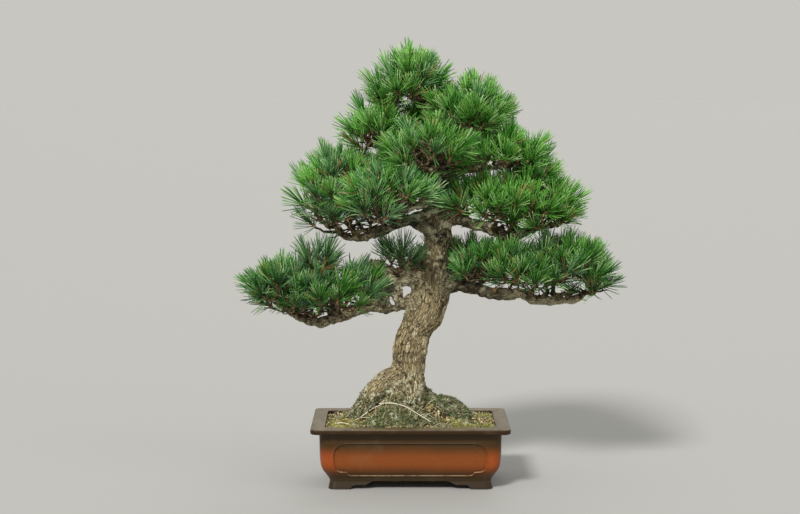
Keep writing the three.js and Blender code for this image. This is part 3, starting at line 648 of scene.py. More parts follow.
def bark_finish():
    """Plates with dark cracks, then coats that lie only in some places of the tree: moss and lichen low down,
    and painted shade and painted light on the fork, the burl, the limbs and the upper trunk.
    """
    f = Finish("pine_bark")
    at, along = f.where(), f.vector_of("grain")
    crack, plate = f.number("plate_top"), f.number("plate_tone")
    streaks = f.noise(f.vector("MULTIPLY", along, (1.0, 1.0, 0.15)), 0.6, 5.0, 0.66)
    flake = f.edges(f.vector("MULTIPLY", along, (0.4, 0.4, 0.095))).between(0.0, 0.16)
    mottle = f.noise(at, 46.0, 4.0)
    base = f.coats(
        f.mix(plate.between(0.1, 0.9), tone(166, 151, 115), tone(216, 206, 172)),
        (mottle.between(0.5, 0.64) * plate.between(0.45, 0.8) * 0.8, tone(190, 142, 90)),
        (mottle.below(0.42, 0.56) * 0.4, tone(176, 168, 140)),
        (streaks.below(0.38, 0.56) * 0.7, tone(112, 96, 66)),
        (streaks.between(0.57, 0.68) * 0.7, tone(232, 222, 190)),
        ((1.0 - flake) * 0.6, tone(84, 70, 47)),
    )
    base = f.mix(crack.between(0.0, 0.75), tone(66, 55, 37), base)
    rind = f.noise(along, 0.24, 4.0, 0.6)
    slim = f.mix(rind.between(0.38, 0.58), tone(44, 40, 26), tone(188, 180, 148))
    slim = f.mix(crack.between(0.1, 0.8) * 0.6 + 0.4, tone(24, 20, 13), slim)
    high, east = f.part_of(at, "Z"), f.part_of(at, "X") - float(POT_MIDDLE[0])
    fork = east.between(0.005, 0.02) * high.within(0.25, 0.275, 0.295, 0.318)
    burl_painted_light = east.within(-0.048, -0.03, -0.008, 0.008) * high.within(0.258, 0.27, 0.3, 0.315)
    inner_limb_shade = east.within(0.048, 0.062, 0.115, 0.15) * high.below(0.275, 0.29)
    outer = east.between(0.12, 0.16) * high.below(0.275, 0.29)
    upper = high.between(0.235, 0.285)
    grey = upper * f.patches(at, 110.0, 4.0, 0.5, 0.6) * (high.between(0.29, 0.32) * 0.45 + 0.4)
    mossy = f.mix(streaks.between(0.4, 0.6), tone(66, 70, 48), tone(146, 150, 114))
    lichen = f.mix(streaks, tone(170, 172, 142), tone(228, 230, 206))
    base = f.coats(
        base,
        (f.number("slimness") * 0.9, slim),
        # Painted shadow on the right of the trunk, between the low limbs
        (fork * 0.8, tone(64, 56, 36)),
        # Painted light: pale patches on the burl, where the tuft above it casts shadow
        (burl_painted_light * f.patches(at, 140.0, 4.0, 0.35, 0.6) * 0.7, tone(206, 200, 170)),
        # Painted shade on the inner part of the low right limb, under its pad
        (inner_limb_shade * 0.7, tone(40, 33, 20)),
        # Painted shade on all the wood from the middle limbs up
        (high.between(0.338, 0.352) * 0.45, tone(50, 44, 28)),
        # Painted light on the outer part of the low right limb
        (outer * 0.35, tone(200, 190, 158)),
        # Pale grey flakes high on the trunk: lichen, and painted light in the shade under the pads
        (grey, tone(206, 202, 170)),
        (upper * f.patches(at, 60.0, 4.0, 0.54, 0.64) * 0.8, tone(32, 27, 17)),
        (high.below(0.09, 0.145) * f.patches(at, 85.0, 4.0, 0.42, 0.56) * 0.85, mossy),
        (high.below(0.125, 0.165) * f.patches(at, 120.0, 3.0, 0.55, 0.61) * 0.85, lichen),
    )
    rough = streaks * 0.6 + crack * 0.3 + flake * 0.45
    return f.set(base_color=base, roughness=0.9, normal=f.bump(rough, 0.002), specular_ior_level=0.25)


def twig_finish():
    f = Finish("brown_twig")
    at = f.where()
    base = f.mix(f.patches(at, 230.0, 3.0, 0.38, 0.62), tone(34, 29, 20), tone(112, 99, 72))
    base = f.mix(f.patches(at, 50.0, 2.0, 0.52, 0.64) * 0.4, base, tone(128, 98, 62))
    fine = f.bump(f.noise(at, 420.0, 3.0), 0.0008)
    return f.set(base_color=base, roughness=0.85, normal=fine, specular_ior_level=0.25)


def needle_finish():
    f = Finish("pine_needle")
    along, shade = f.number("along"), f.number("shade")
    light, high = shade.between(0.0, 0.85), f.part_of(f.where(), "Z").between(0.29, 0.41)

    def green_of(low_dark, high_dark, low_light, high_light):
        """Dark to light by the needle's own shade, and brighter high in the tree: partly fresher growth, partly
        painted light on the upper pads.
        """
        dark = f.mix(high, tone(*low_dark), tone(*high_dark))
        return f.mix(light, dark, f.mix(high, tone(*low_light), tone(*high_light)))

    young = green_of((20, 84, 14), (32, 116, 18), (98, 166, 62), (130, 200, 84))
    bluish = green_of((18, 72, 32), (30, 100, 44), (104, 152, 102), (132, 178, 126))
    green = f.coats(
        young,
        (f.number("tuft_tone").between(0.62, 0.95) * 0.8, bluish),
        # Painted shade at the foot of each needle, inside the tuft
        (along.below(0.1, 0.6) * 0.55, tone(22, 56, 14)),
        # Painted shade on the tufts that sit low in their pad (depth)
        (f.number("depth") * 0.4, tone(20, 54, 16)),
        # Painted highlights on the lightest needles
        (shade.between(0.76, 0.98) * along.between(0.25, 0.85) * 0.7, tone(196, 226, 168)),
    )
    green = f.mix(shade.between(0.02, 0.04), tone(164, 134, 84), green)
    sheath = f.mix(shade, tone(100, 78, 50), tone(168, 140, 100))
    base = f.mix(along.between(0.04, 0.07), sheath, green)
    return f.set(base_color=base, roughness=0.4, specular_ior_level=0.45)


def bud_finish():
    f = Finish("bud_scale")
    fine = f.noise(f.where(), 500.0, 3.0)
    base = f.mix(fine.between(0.35, 0.65), tone(88, 68, 44), tone(168, 138, 98))
    return f.set(base_color=base, roughness=0.8, normal=f.bump(fine, 0.0006))


def clay_finish():
    """Painted shadow under the rim, darker at the feet, dust and painted sheen on the rim's top, a painted
    highlight on the panels' ledges.
    """
    f = Finish("brown_clay")
    at = f.where()
    z, drift = f.part_of(at, "Z") * 1000, f.noise(at, 12.0, 3.0) - 0.5
    height, speck = z + drift * 9.0, f.noise(at, 620.0, 2.0)
    dust_and_sheen = f.mix(f.patches(at, 60.0, 4.0, 0.3, 0.66), tone(76, 64, 42), tone(108, 96, 70))
    ledge_highlight = f.patches(at, 180.0, 2.0, 0.36, 0.52) * 0.5 + 0.1
    base = f.mix(f.number("post"), tone(124, 64, 23), tone(142, 67, 24))
    base = f.mix(height.between(14, 38), tone(60, 46, 25), base)
    base = f.mix(z.between(7.5, 13), tone(44, 32, 18), base)
    base = f.coats(
        base,
        (height.between(43, 64), tone(60, 41, 13)),
        # Painted shadow under the rim's overhang
        (z.between(73.5, 77.8), tone(46, 29, 8)),
        # The rim's top: dust, and paler as painted sheen
        ((z + drift * 1.5).between(83.2, 84.6), dust_and_sheen),
        (speck.between(0.56, 0.7) * 0.35, tone(44, 32, 22)),
        (f.patches(at, 34.0, 4.0, 0.54, 0.72) * 0.08, tone(136, 116, 90)),
        # Painted highlight along the panels' lower ledges
        (f.number("ledge").between(0.6, 1.0) * ledge_highlight, tone(176, 156, 122)),
    )
    rough = f.noise(at, 60.0, 3.0) * 0.2 + 0.3
    return f.set(base_color=base, roughness=rough, normal=f.bump(speck, 0.00025), specular_ior_level=0.26)


def ground_finish():
    f = Finish("bonsai_soil")
    at = f.where()
    grain = f.noise(at, 260.0, 4.0)
    base = f.mix(grain.between(0.35, 0.65), tone(18, 16, 9), tone(78, 70, 45))
    base = f.mix(f.patches(at, 40.0, 3.0, 0.45, 0.6) * 0.5, base, tone(62, 62, 38))
    return f.set(base_color=base, roughness=0.95, normal=f.bump(grain, 0.002), specular_ior_level=0.2)


def grain_finish():
    f = Finish("soil_grain")
    shade = f.number("shade")
    base = f.mix(shade.between(0.0, 0.7), tone(56, 50, 30), tone(172, 154, 108))
    base = f.mix(shade.between(0.84, 0.95), base, tone(222, 214, 182))
    return f.set(base_color=base, roughness=0.9, specular_ior_level=0.25)


def moss_finish():
    f = Finish("moss")
    at, shade = f.where(), f.number("shade")
    yellow = f.mix(shade, tone(84, 82, 28), tone(196, 188, 106))
    deep = f.mix(shade, tone(20, 30, 18), tone(126, 142, 96))
    tan = f.mix(shade, tone(38, 34, 20), tone(164, 154, 120))
    base = f.coats(
        f.mix(f.number("dark").between(0.3, 0.7), yellow, deep),
        (f.patches(at, 70.0, 4.0, 0.48, 0.6) * 0.8, tan),
        (f.patches(at, 85.0, 3.0, 0.57, 0.63) * shade.between(0.35, 0.7), tone(208, 212, 184)),
        (shade.between(0.93, 0.97), tone(214, 214, 186)),
    )
    return f.set(base_color=base, roughness=0.9, specular_ior_level=0.2)


def straw_finish():
    f = Finish("dry_needle")
    base = f.mix(f.number("shade"), tone(132, 118, 84), tone(232, 226, 202))
    return f.set(base_color=base, roughness=0.75, specular_ior_level=0.3)


def screen_finish():
    return Finish("black_plastic").set(base_color=(*tone(28, 28, 30), 1), roughness=0.55)


BARK, TWIG, NEEDLE, BUD = bark_finish(), twig_finish(), needle_finish(), bud_finish()
CLAY, GROUND, GRAIN = clay_finish(), ground_finish(), grain_finish()
MOSS, STRAW = moss_finish(), straw_finish()

# ---- trunk, roots and branches ----

BARK_VOXEL = 1.45
# How wide and how long a plate of bark is, and a chip of one
PLATE, CHIP = (6.2, 23), (2.8, 9.5)
# How far apart two limbs lie in the bark's noise, so that they differ
LIMB_STEP = 311


def gnarled(path, number):
    """A limb's path with small bends, knots and swellings; the slim ones have the most."""
    path = path.copy()
    for i, spot in enumerate(path):
        x, y, z, r = spot
        slim = limited((15 - r) / 9)
        swell = noise.noise(Vector((x * 0.07 + number * 9.1, y * 0.07, z * 0.07)))
        knot = noise.noise(Vector((x * 0.17, y * 0.17 + number * 5.7, z * 0.17)))
        collar = 0.45 * math.exp(-i / 5) if number > len(ROOTS) else 0
        spot[3] = r * (0.97 + 0.08 * swell + (0.05 + 0.34 * slim) * knot + collar)
        spot[:3] += wander((x, y, z), 0.055, (0, 0, number * 3.1)) * 3.2 * slim
    return path


def wood_paths():
    limbs = [limb for name, limb in LIMBS.items() if name != "apex"]
    return [gnarled(through(line, 8), number) for number, line in enumerate([TRUNK, *ROOTS, *limbs, *STUBS])]


def bark_cell(g, size, shape, warp):
    """How far into its cell a place is, and the cell's middle."""
    wide, high = shape[0] * size, shape[1] * size
    gaps, centres = noise.voronoi(Vector((g.x / wide, g.y / wide, g.z / high)) + warp)
    return gaps[1] - gaps[0], centres[0]


def bark_at(g, size):
    """How far a bark plate stands out at a place g along a limb, how whole it is there, and its tone."""
    fine = noise.noise_vector(Vector((g.x * 0.3, g.y * 0.3, g.z * 0.13))) * 0.3
    warp = noise.noise_vector(g * 0.06) * 0.55 + fine
    gap, centre = bark_cell(g, size, PLATE, warp)
    deep = 0.5 + 0.5 * noise.noise(g * 0.04 + Vector((9, 0, 0)))
    plate = 1 - (1 - limited((gap - 0.02) / (0.10 + 0.10 * deep))) * min(0.35 + deep, 1)
    gap, _ = bark_cell(g, size, CHIP, warp * 2)
    chip, lift = min(gap / 0.25, 1), noise.cell(centre * 7.31)
    stands = 1.3 * plate + 1.1 * lift * plate + 0.6 * chip + 0.5 * noise.noise(g * 0.45) - 1.6
    return stands, plate * (0.6 + 0.4 * chip), lift


def core_of(paths):
    """The wood's middle lines to search in, and what each of their points tells the bark round it."""
    tree, core = kdtree.KDTree(sum(len(p) for p in paths)), []
    for number, path in enumerate(paths):
        side, across = frames_along(path)
        run = np.concatenate([[0], np.cumsum(np.linalg.norm(np.diff(path[:, :3], axis=0), axis=1))])
        for i, p in enumerate(path):
            tree.insert(Vector(p[:3]), len(core))
            core.append((p[:3], p[3], side[i], across[i], run[i], number))
    tree.balance()
    return tree, core


def make_wood():
    """The wood as one skin with its bark, and the skin's points."""
    paths = wood_paths()
    wood = new_piece("trunk_and_branches", *joined([tube(path, 20) for path in paths]))
    remesh = wood.modifiers.new("one skin", "REMESH")
    remesh.mode, remesh.voxel_size, remesh.adaptivity = "VOXEL", BARK_VOXEL / 1000, 0
    ease = wood.modifiers.new("flares", "SMOOTH")
    ease.factor, ease.iterations = 0.5, 4
    mesh = plain_mesh(wood).data
    count = len(mesh.vertices)
    points = points_of(wood)
    normals = np.empty(count * 3, np.float32)
    mesh.vertex_normals.foreach_get("vector", normals)
    tree, core = core_of(paths)
    grain, top, toned, slim, push = (np.zeros((count, 3)), *(np.zeros(count) for _ in range(4)))
    for v, p in enumerate(points):
        _, best, _ = min(tree.find_n(Vector(p), 6), key=lambda hit: hit[2] - core[hit[1]][1])
        middle, radius, side, across, run, number = core[best]
        off = p - middle
        ahead = run + off.dot(np.cross(side, across)) + number * LIMB_STEP
        g = Vector((off.dot(side), off.dot(across), ahead))
        stands, top[v], toned[v] = bark_at(g, limited(radius / 21, 0.45, 1.1))
        slim[v] = 1 - limited((radius - 4.5) / 9)
        push[v] = limited(radius / 20, 0.5, 1.0) * stands + 1.5 * slim[v] * noise.noise(g * 0.19)
        grain[v] = g
    points = points + normals.reshape(-1, 3) * push[:, None]
    mesh.vertices.foreach_set("co", place(points).astype(np.float32).ravel())
    set_vectors(mesh, "grain", grain)
    set_numbers(mesh, plate_top=top, plate_tone=toned, slimness=slim)
    mesh.shade_smooth()
    return painted(wood, BARK), points


# ---- needles, shoots and twigs ----

TRIANGLE = [math.radians(a) for a in (0, 120, 240)]
# How far below its tuft a twig had better start, and how long it is at least
TWIG_DROP, TWIG_LEAST = 11, 9


def needle_pair():
    """Two needles from one sheath. The needles are one unit long, and bend towards +X."""
    points, faces, along = [], [], []
    for way in (-1, 1):
        start = len(points)
        turns = [math.radians(a + (0 if way > 0 else 180)) for a in (90, 210, 330)]
        for t, width in ((0.03, 0.015), (0.4, 0.019), (0.88, 0.0165)):
            points += loop(turns, width, (0.02 + 0.06 * t * t, way * (0.006 + 0.075 * t), t), 0.8)
            along += [0.1 + 0.9 * t] * 3
        points.append((0.02 + 0.06, way * 0.081, 1.0))
        along.append(1.0)
        faces += bands(start, 3, 3)
        faces += [(start + 6 + j, start + 6 + (j + 1) % 3, start + 9) for j in range(3)]
        faces.append((start + 2, start + 1, start))
    start = len(points)
    for t, width in ((-0.02, 0.02), (0.1, 0.026), (0.13, 0.012)):
        points += loop(TRIANGLE, width, (0.012, 0, t))
        along += [0.0] * 3
    faces += bands(start, 3, 3)
    faces.append((start + 2, start + 1, start))
    faces.append((start + 6, start + 7, start + 8))
    return hidden_model("needle_pair", points, faces, along=along)


def shoot_model():
    """A scaly shoot, one unit long, with its winter bud on top."""
    rows = [
        (0, 0.13), (0.12, 0.17), (0.16, 0.12), (0.3, 0.16), (0.34, 0.11), (0.5, 0.15), (0.54, 0.1),
        (0.68, 0.14), (0.74, 0.08), (0.86, 0.11), (0.98, 0.08), (1.05, 0.02),
    ]
    turns = np.arange(6) * math.pi / 3
    rings = [np.array(loop(turns + i * 0.5, r, (0, 0, z))) for i, (z, r) in enumerate(rows)]
    return hidden_model("scaly_shoot", *stack(rings))


def tuft_grower():
    """Needle pairs in a spiral up each shoot: the lowest stand out and the top ones follow the shoot."""
    g = Grower("needle_tufts", Pairs=27, Length=0.039, Shoot=0.014, Lowest=70.0, Top=5.0, Rise=0.2,
               Seed=1, Pair="", Material=None)
    values = {"Geometry": g.given("Geometry"), "Amount": g.given("Pairs")}
    many = g.node("GeometryNodeDuplicateElements", {"domain": "POINT"}, values, out=None)
    points, count = Wire(g, many.outputs["Geometry"]), Wire(g, many.outputs["Duplicate Index"])
    share, seed, axis = (count + 0.5) / g.given("Pairs"), g.given("Seed"), g.vector_of("axis")
    lean = (g.given("Lowest") + (g.given("Top") - g.given("Lowest")) * share) + g.chance(-14.0, 14.0, seed)
    lean = lean * (math.pi / 180)
    turn = count * math.radians(GOLDEN_ANGLE) + g.number("turn") + g.chance(-0.45, 0.45, seed + 1.0)
    out = lean.sine()
    aim = g.node("ShaderNodeCombineXYZ", {}, {0: out * turn.cosine(), 1: out * turn.sine(), 2: lean.cosine()})
    aim = g.node("FunctionNodeRotateVector", {}, {"Vector": aim, "Rotation": g.turned_to(axis)})
    aim = g.vector("ADD", aim, g.upright(g.given("Rise")))
    points = g.moved(points, g.vector("SCALE", axis, Scale=share * g.given("Shoot")))
    facing = g.turned_to(axis, g.turned_to(aim), axis="X", pivot="Z")
    facing = g.spun(facing, g.chance(-0.9, 0.9, seed + 2.0))
    size = g.given("Length") * g.chance(0.78, 1.07, seed + 3.0) * g.number("size")
    pairs = g.repeated("Pair", points, facing, size)
    g.finished(g.kept(pairs, "shade", g.chance(0.0, 1.0, seed + 4.0)))
    return g


def shoot_grower():
    """A scaly shoot at the foot of each tuft."""
    g = Grower("scaly_shoots", Length=0.014, Shoot="", Material=None)
    facing, size = g.turned_to(g.vector_of("axis")), g.given("Length") * g.number("size")
    g.finished(g.repeated("Shoot", g.given("Geometry"), facing, size))
    return g


def twig_path(start, foot, axis, thick, number):
    """From the wood out and up into a shoot, with a wander and knots."""
    neck = foot - axis * 3
    bend = start + (neck - start) * np.array([0.6, 0.6, 0.3])
    path = through([(*start, thick), (*bend, thick * 0.85), (*neck, 1.5), (*foot, 1.7)], 5)
    for i in range(1, len(path) - 4):
        path[i, :3] += wander(path[i, :3], 0.11, (number, 0, 0)) * 2.4
        path[i, 3] *= 0.8 + 0.5 * scatter(number * 7 + i)
    return path


def straight(start, turn, climb, length, thick, thinner, count):
    """A straight path of (x, y, z, radius) that climbs and gets thinner."""
    step = heading(turn, math.cos(climb), math.sin(climb)) * length
    return np.array([[*(start + step * t), thick - thinner * t] for t in np.linspace(0, 1, count)])


def branchlets(limb, pad, number):
    """Side branches that rise from the part of a limb that lies under its pad."""
    grown = []
    for i in range(2 + number % 3, len(limb) - 2, 4):
        x, y, z, radius = limb[i]
        off = math.hypot((x - pad.middle[0]) / pad.half[0], (y - pad.middle[1]) / pad.half[1])
        if off > 1.1 or z > pad.edge - 8:
            continue
        ahead = limb[i + 1, :2] - limb[i - 1, :2]
        turn = math.atan2(ahead[1], ahead[0]) + (1 if i % 8 < 4 else -1) * (0.6 + 0.9 * scatter(i + number))
        climb = 0.35 + 0.6 * scatter(i + number + 9)
        length = min((pad.edge - 10 - z) / math.sin(climb), 26 + 22 * scatter(i + number + 4))
        path = straight(limb[i, :3], turn, climb, length, min(3.4, radius), 1.3, 12)
        for k in range(1, 12):
            path[k, :3] += wander(path[k, :3], 0.09, (number, i, 0)) * min(k, 5)
            path[k, 3] *= 0.8 + 0.45 * scatter(i + 13 * k + number)
        grown.append(path)
    return grown


def grow_twigs(stems, tufts, number):
    """A twig to each tuft, from the nearest wood that lies below it, so that twigs branch off twigs."""
    wood = [point for stem in stems for point in stem[4:]]
    tubes = []
    reach = lambda tuft: min(np.linalg.norm(tuft[0] - q[:3]) for q in wood)
    for n, (foot, axis) in enumerate(sorted(tufts, key=reach)):
        near = np.array(wood)
        gap = np.linalg.norm(near[:, :3] - foot, axis=1)
        cost = gap + 1.4 * np.maximum(near[:, 2] - foot[2] + TWIG_DROP, 0) + 200 * (gap < TWIG_LEAST)
        start = near[cost.argmin()]
        thick = min(1.3 + 0.022 * gap[cost.argmin()], start[3])
        path = twig_path(start[:3], foot, axis, thick, n + number)
        tubes.append(tube(path, 6))
        wood += list(path[4:-5])
    return tubes, wood


def bare_twigs(wood, count, number):
    """Short dead side twigs, most of them low on the wood."""
    tubes = []
    wood = sorted(wood, key=lambda q: q[2])
    for n in range(count):
        start = wood[int(len(wood) * scatter(number + 3 * n) ** 1.5)][:3]
        turn, climb = 6.283 * scatter(number + 5 * n + 1), 1.1 * scatter(number + 7 * n + 2) - 0.25
        path = straight(start, turn, climb, 9 + 20 * scatter(number + 11 * n + 3), 1.25, 0.7, 7)
        for i in range(1, 7):
            path[i, :3] += wander(path[i, :3], 0.13) * (1 + 2.5 * i / 6)
            path[i, 3] *= 0.8 + 0.5 * scatter(n * 7 + i)
        tubes.append(tube(path, 5))
    return tubes


def tufts_of(pad, number):
    """A pad's own tufts, where they sit in the photograph, and the finer ones between them."""
    seed = 100 * (number + 1)
    own = [(foot + NUDGES.get(pad.name, 0), axis) for foot, axis in lay_tufts(pad, seed)]
    if pad.name == "apex":
        own = [(foot - (0, 0, min(max(-foot[0] - 5, 0) * 0.35, 11)), axis) for foot, axis in own]
    return own, fill_between(pad, own, seed + 37)


def tuft_dots(pad, own, more, number):
    """A point for each tuft of a pad, with its direction, turn, size, tone and depth, the painted shade of a
    tuft that sits low in its pad.
    """
    tufts = own + more
    numbers = np.arange(len(tufts)) + 90 * number
    sizes = [0.82 + 0.12 * scatter(n + 5) for n in numbers[:len(own)]]
    sizes += [0.66 + 0.22 * scatter(n + 5) for n in numbers[len(own):]]
    blue = BLUISH.get(pad.name, 0)
    # Depth: painted shade, more the lower a tuft sits under its pad's top, less by the pad's number in BLUISH
    low = [0.8 if blue == 1 else (pad.edge + pad.dome - foot[2]) / 44 - abs(blue) for foot, _ in tufts]
    dots = new_piece(f"needles_{pad.name}", np.array([foot for foot, _ in tufts]), [])
    set_vectors(dots.data, "axis", np.array([axis for _, axis in tufts]))
    set_numbers(
        dots.data, turn=[6.28 * scatter(n) for n in numbers], size=sizes,
        tuft_tone=[scatter(n + 9) + blue for n in numbers], depth=np.clip(low, 0, 1),
    )
    return dots


def stems_of(pad, number):
    """The stems of a pad, from its limb to their forks, and the side branches under it."""
    limb = through(LIMBS[pad.limb], 4)[3:]
    stems = []
    for k, fork in enumerate(lay_forks(pad)):
        root = min(limb, key=lambda q: np.linalg.norm(q[:3] - fork))[:3]
        part = lambda a, b: root + (fork - root) * np.array([a, a, b])
        stem = through([(*root, 4.0), (*part(0.45, 0.3), 3.3), (*part(0.75, 0.65), 2.9), (*fork, 2.2)], 5)
        for i, point in enumerate(stem[1:], 1):
            point[:3] += wander(point[:3], 0.09) * 2.6
            point[3] *= 0.82 + 0.42 * scatter(i + 13 * k + number)
        stems.append(stem)
    return stems + branchlets(through(LIMBS[pad.limb], 8), pad, number)


def make_foliage():
    """For each pad the nodes that it stands for, its needles, its shoots and its twigs."""
    pair, shoot = needle_pair(), shoot_model()
    tufts_by_rule, shoots_by_rule = tuft_grower(), shoot_grower()
    made = []
    for number, pad in enumerate(PADS):
        spray = f"spray_{pad.name}_"
        nodes = [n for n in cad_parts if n.startswith(spray) and n[len(spray):].isdigit()]
        own, more = tufts_of(pad, number)
        dots = tuft_dots(pad, own, more, number)
        buds = copy_of(dots)
        tufts_by_rule.grow(dots, f"needles_{pad.name}", Pair=pair, Material=NEEDLE, Seed=number * 11 + 1)
        shoots_by_rule.grow(buds, f"shoots_{pad.name}", Shoot=shoot, Material=BUD)
        stems = stems_of(pad, number)
        tubes, wood = grow_twigs(stems, own + more, 50 * number)
        tubes = [tube(stem, 8) for stem in stems] + tubes + bare_twigs(wood, 10 * len(own), 500 * number)
        made.append((nodes, dots, buds, painted(new_piece(f"twigs_{pad.name}", *joined(tubes)), TWIG)))
    return made


# ---- pot ----

RIM_LENGTH, RIM_WIDTH, POT_HEIGHT, RIM_SHELF = 266, 175, 85, 19
FLOOR_TOP, FLOOR_UNDERSIDE, FOOT_THICKNESS, PANEL_DEPTH, PANEL_INSET = 19, 11, 14, 1.4, 31
# Half the length of the arches under the long and the short faces
LONG_ARCH, SHORT_ARCH = 82, 42.5
DRAINS, DRAIN_RADIUS = (-50, 50), 9
# How far from its corners a pot ring has points 1 mm apart, and the gap between soil and pot
CORNER_SPAN, SOIL_GAP = 34.0, 0.6
# How far the feet stand in from the rim, and from how many degrees an edge of the pot is sharp
FOOT_INSET, SHARP_FROM = 23, 32
# The pot's outline: height, inset from the rim's outer edge, corner radius
FOOT = [(0, 23.6, 9), (0.7, FOOT_INSET, 9), (6, 24, 9), (9.5, 25, 9)]
BELLY = [
    (11, 25.2, 9), (15, 23.4, 10), (18.5, 21.2, 11), (22, 18.7, 12), (26, 16.1, 12), (32, 13.9, 12),
    (40, 12.9, 12), (56, 12, 12), (74, 11.4, 12),
]
RIM = [
    (76, 11, 12), (77.5, 10.4, 12), (77.6, 1.6, 8), (78, 0.8, 8), (78.9, 0.2, 8), (81, 0, 8), (83.2, 0, 8),
    (84.3, 0.5, 7.6), (84.9, 1.5, 7), (POT_HEIGHT, 2.6, 7),
]
INSIDE = [
    (POT_HEIGHT, RIM_SHELF - 1.4, 8.6), (84.7, RIM_SHELF - 0.5, 8.2), (83.6, RIM_SHELF, 8), (66, 19.2, 9),
    (50, 20.2, 10), (36, 22, 10), (26, 26, 10), (FLOOR_TOP, 31, 10),
]


def side_spots(reach):
    """Places along a straight side of a pot ring: 1 mm apart near its two corners."""
    near = list(np.arange(1.0, CORNER_SPAN, 1.0))
    middle = list(np.linspace(CORNER_SPAN, 2 * reach - CORNER_SPAN, 24))
    far = [2 * reach - n for n in reversed(near)]
    return [s - reach for s in near + middle + far]


def rounded_ring(half_length, half_width, radius, z):
    """A rectangle with round corners, anticlockwise from above."""
    steps = 9
    points = []
    for quarter, (sx, sy) in enumerate(((1, 1), (-1, 1), (-1, -1), (1, -1))):
        for s in range(steps + 1):
            a = math.radians(90 * quarter + 90 * s / steps)
            x = sx * (half_length - radius) + radius * math.cos(a)
            points.append((x, sy * (half_width - radius) + radius * math.sin(a)))
        if quarter % 2 == 0:
            points += [(-sx * t, sy * half_width) for t in side_spots(half_length - radius)]
        else:
            points += [(sx * half_length, -sy * t) for t in side_spots(half_width - radius)]
    return np.array([(x, y, z) for x, y in points])


def mirrored(side):
    """An outline from its right half."""
    return side + [(-x, z) for x, z in reversed(side)]


def panel_outline(half):
    return mirrored([
        (half - 22, 19.5), (half - 19, 21), (half - 17, 24.5), (half - 8, 25.2), (half - 3, 28),
        (half - 0.5, 36), (half, 48), (half - 2.5, 56), (half - 9, 61), (half - 18, 62.5),
    ])


def depth_inside(outline, x, z):
    """How far points lie inside an outline; negative outside it."""
    poly = np.array(outline, float)
    a, b = poly, np.roll(poly, -1, axis=0)
    p = np.stack([x, z], -1)[:, None, :]
    edge = b - a
    t = np.clip(((p - a) * edge).sum(-1) / (edge**2).sum(-1), 0, 1)
    gap = np.linalg.norm(p - (a + t[..., None] * edge), axis=-1).min(1)
    crosses = ((a[:, 1] > p[..., 1]) != (b[:, 1] > p[..., 1])) & (
        p[..., 0] < (b[:, 0] - a[:, 0]) * (p[..., 1] - a[:, 1]) / (b[:, 1] - a[:, 1] + 1e-12) + a[:, 0]
    )
    inside = crosses.sum(1) % 2 == 1
    return np.where(inside, gap, -gap)


def pot_rings():
    """The pot's skin as rings, with the sunk panel pressed into each face; and how near each point is to the
    panel's lower ledge, and how far it is outside the panel."""
    outside = [*FOOT, *through(BELLY, 10), *RIM]
    rings, ledges, posts = [], [], []
    for number, (z, inset, radius) in enumerate([*outside, *INSIDE]):
        ring = rounded_ring(RIM_LENGTH / 2 - inset, RIM_WIDTH / 2 - inset, radius, z)
        ledge, post = np.zeros(len(ring)), np.ones(len(ring))
        for axis, length, width in ((0, RIM_LENGTH, RIM_WIDTH), (1, RIM_WIDTH, RIM_LENGTH)):
            if number >= len(outside) or not 15 < z < 66:
                continue
            on_face = np.abs(np.abs(ring[:, 1 - axis]) - (width / 2 - inset)) < 0.05
            depth = depth_inside(panel_outline(length / 2 - PANEL_INSET), ring[:, axis], ring[:, 2])
            hill = lambda middle, wide: np.exp(-(((depth - middle) / wide) ** 2))
            sunk = PANEL_DEPTH * smooth_step(depth, -0.6, 0.9)
            bead = 0.7 * hill(-1.6, 1.1) - 0.4 * hill(1.2, 1.0)
            ring[:, 1 - axis] += np.sign(ring[:, 1 - axis]) * np.where(on_face, bead - sunk, 0)
            ledge += np.where(on_face, hill(-0.2, 0.7) * (z < 27), 0)
            post[on_face] = smooth_step(depth, 1.0, -2.0)[on_face]
        rings.append(ring)
        ledges.append(ledge)
        posts.append(post)
    return rings, np.concatenate([*ledges, [0, 0]]), np.concatenate([*posts, [1, 1]])


def block(outline, depth, turned):
    """A flat outline pushed through the pot from face to face."""
    rings = [np.array([((-y, x, z) if turned else (x, y, z)) for x, z in outline]) for y in (-depth, depth)]
    n = len(outline)
    return np.concatenate(rings), [*bands(0, 2, n), tuple(range(n))[::-1], tuple(range(n, 2 * n))]


def arch_outline(half):
    return mirrored([
        (half, -1), (half - 3.2, 3.6), (half - 4.6, 4.9), (half - 8, 5.8), (half - 21, 6), (half - 23.5, 6.9),
        (half - 26.5, 8.6), (half - 31, 10.6), (half - 36, FLOOR_UNDERSIDE),
    ])


def cut_away(piece, name, points, faces):
    tool = new_piece(name, points, faces, smooth=False)
    turn = bmesh.new()
    turn.from_mesh(tool.data)
    bmesh.ops.recalc_face_normals(turn, faces=turn.faces)
    turn.to_mesh(tool.data)
    turn.free()
    cut = piece.modifiers.new(name, "BOOLEAN")
    cut.operation, cut.solver, cut.object = "DIFFERENCE", "EXACT", tool
    plain_mesh(piece)
    bpy.data.objects.remove(tool)


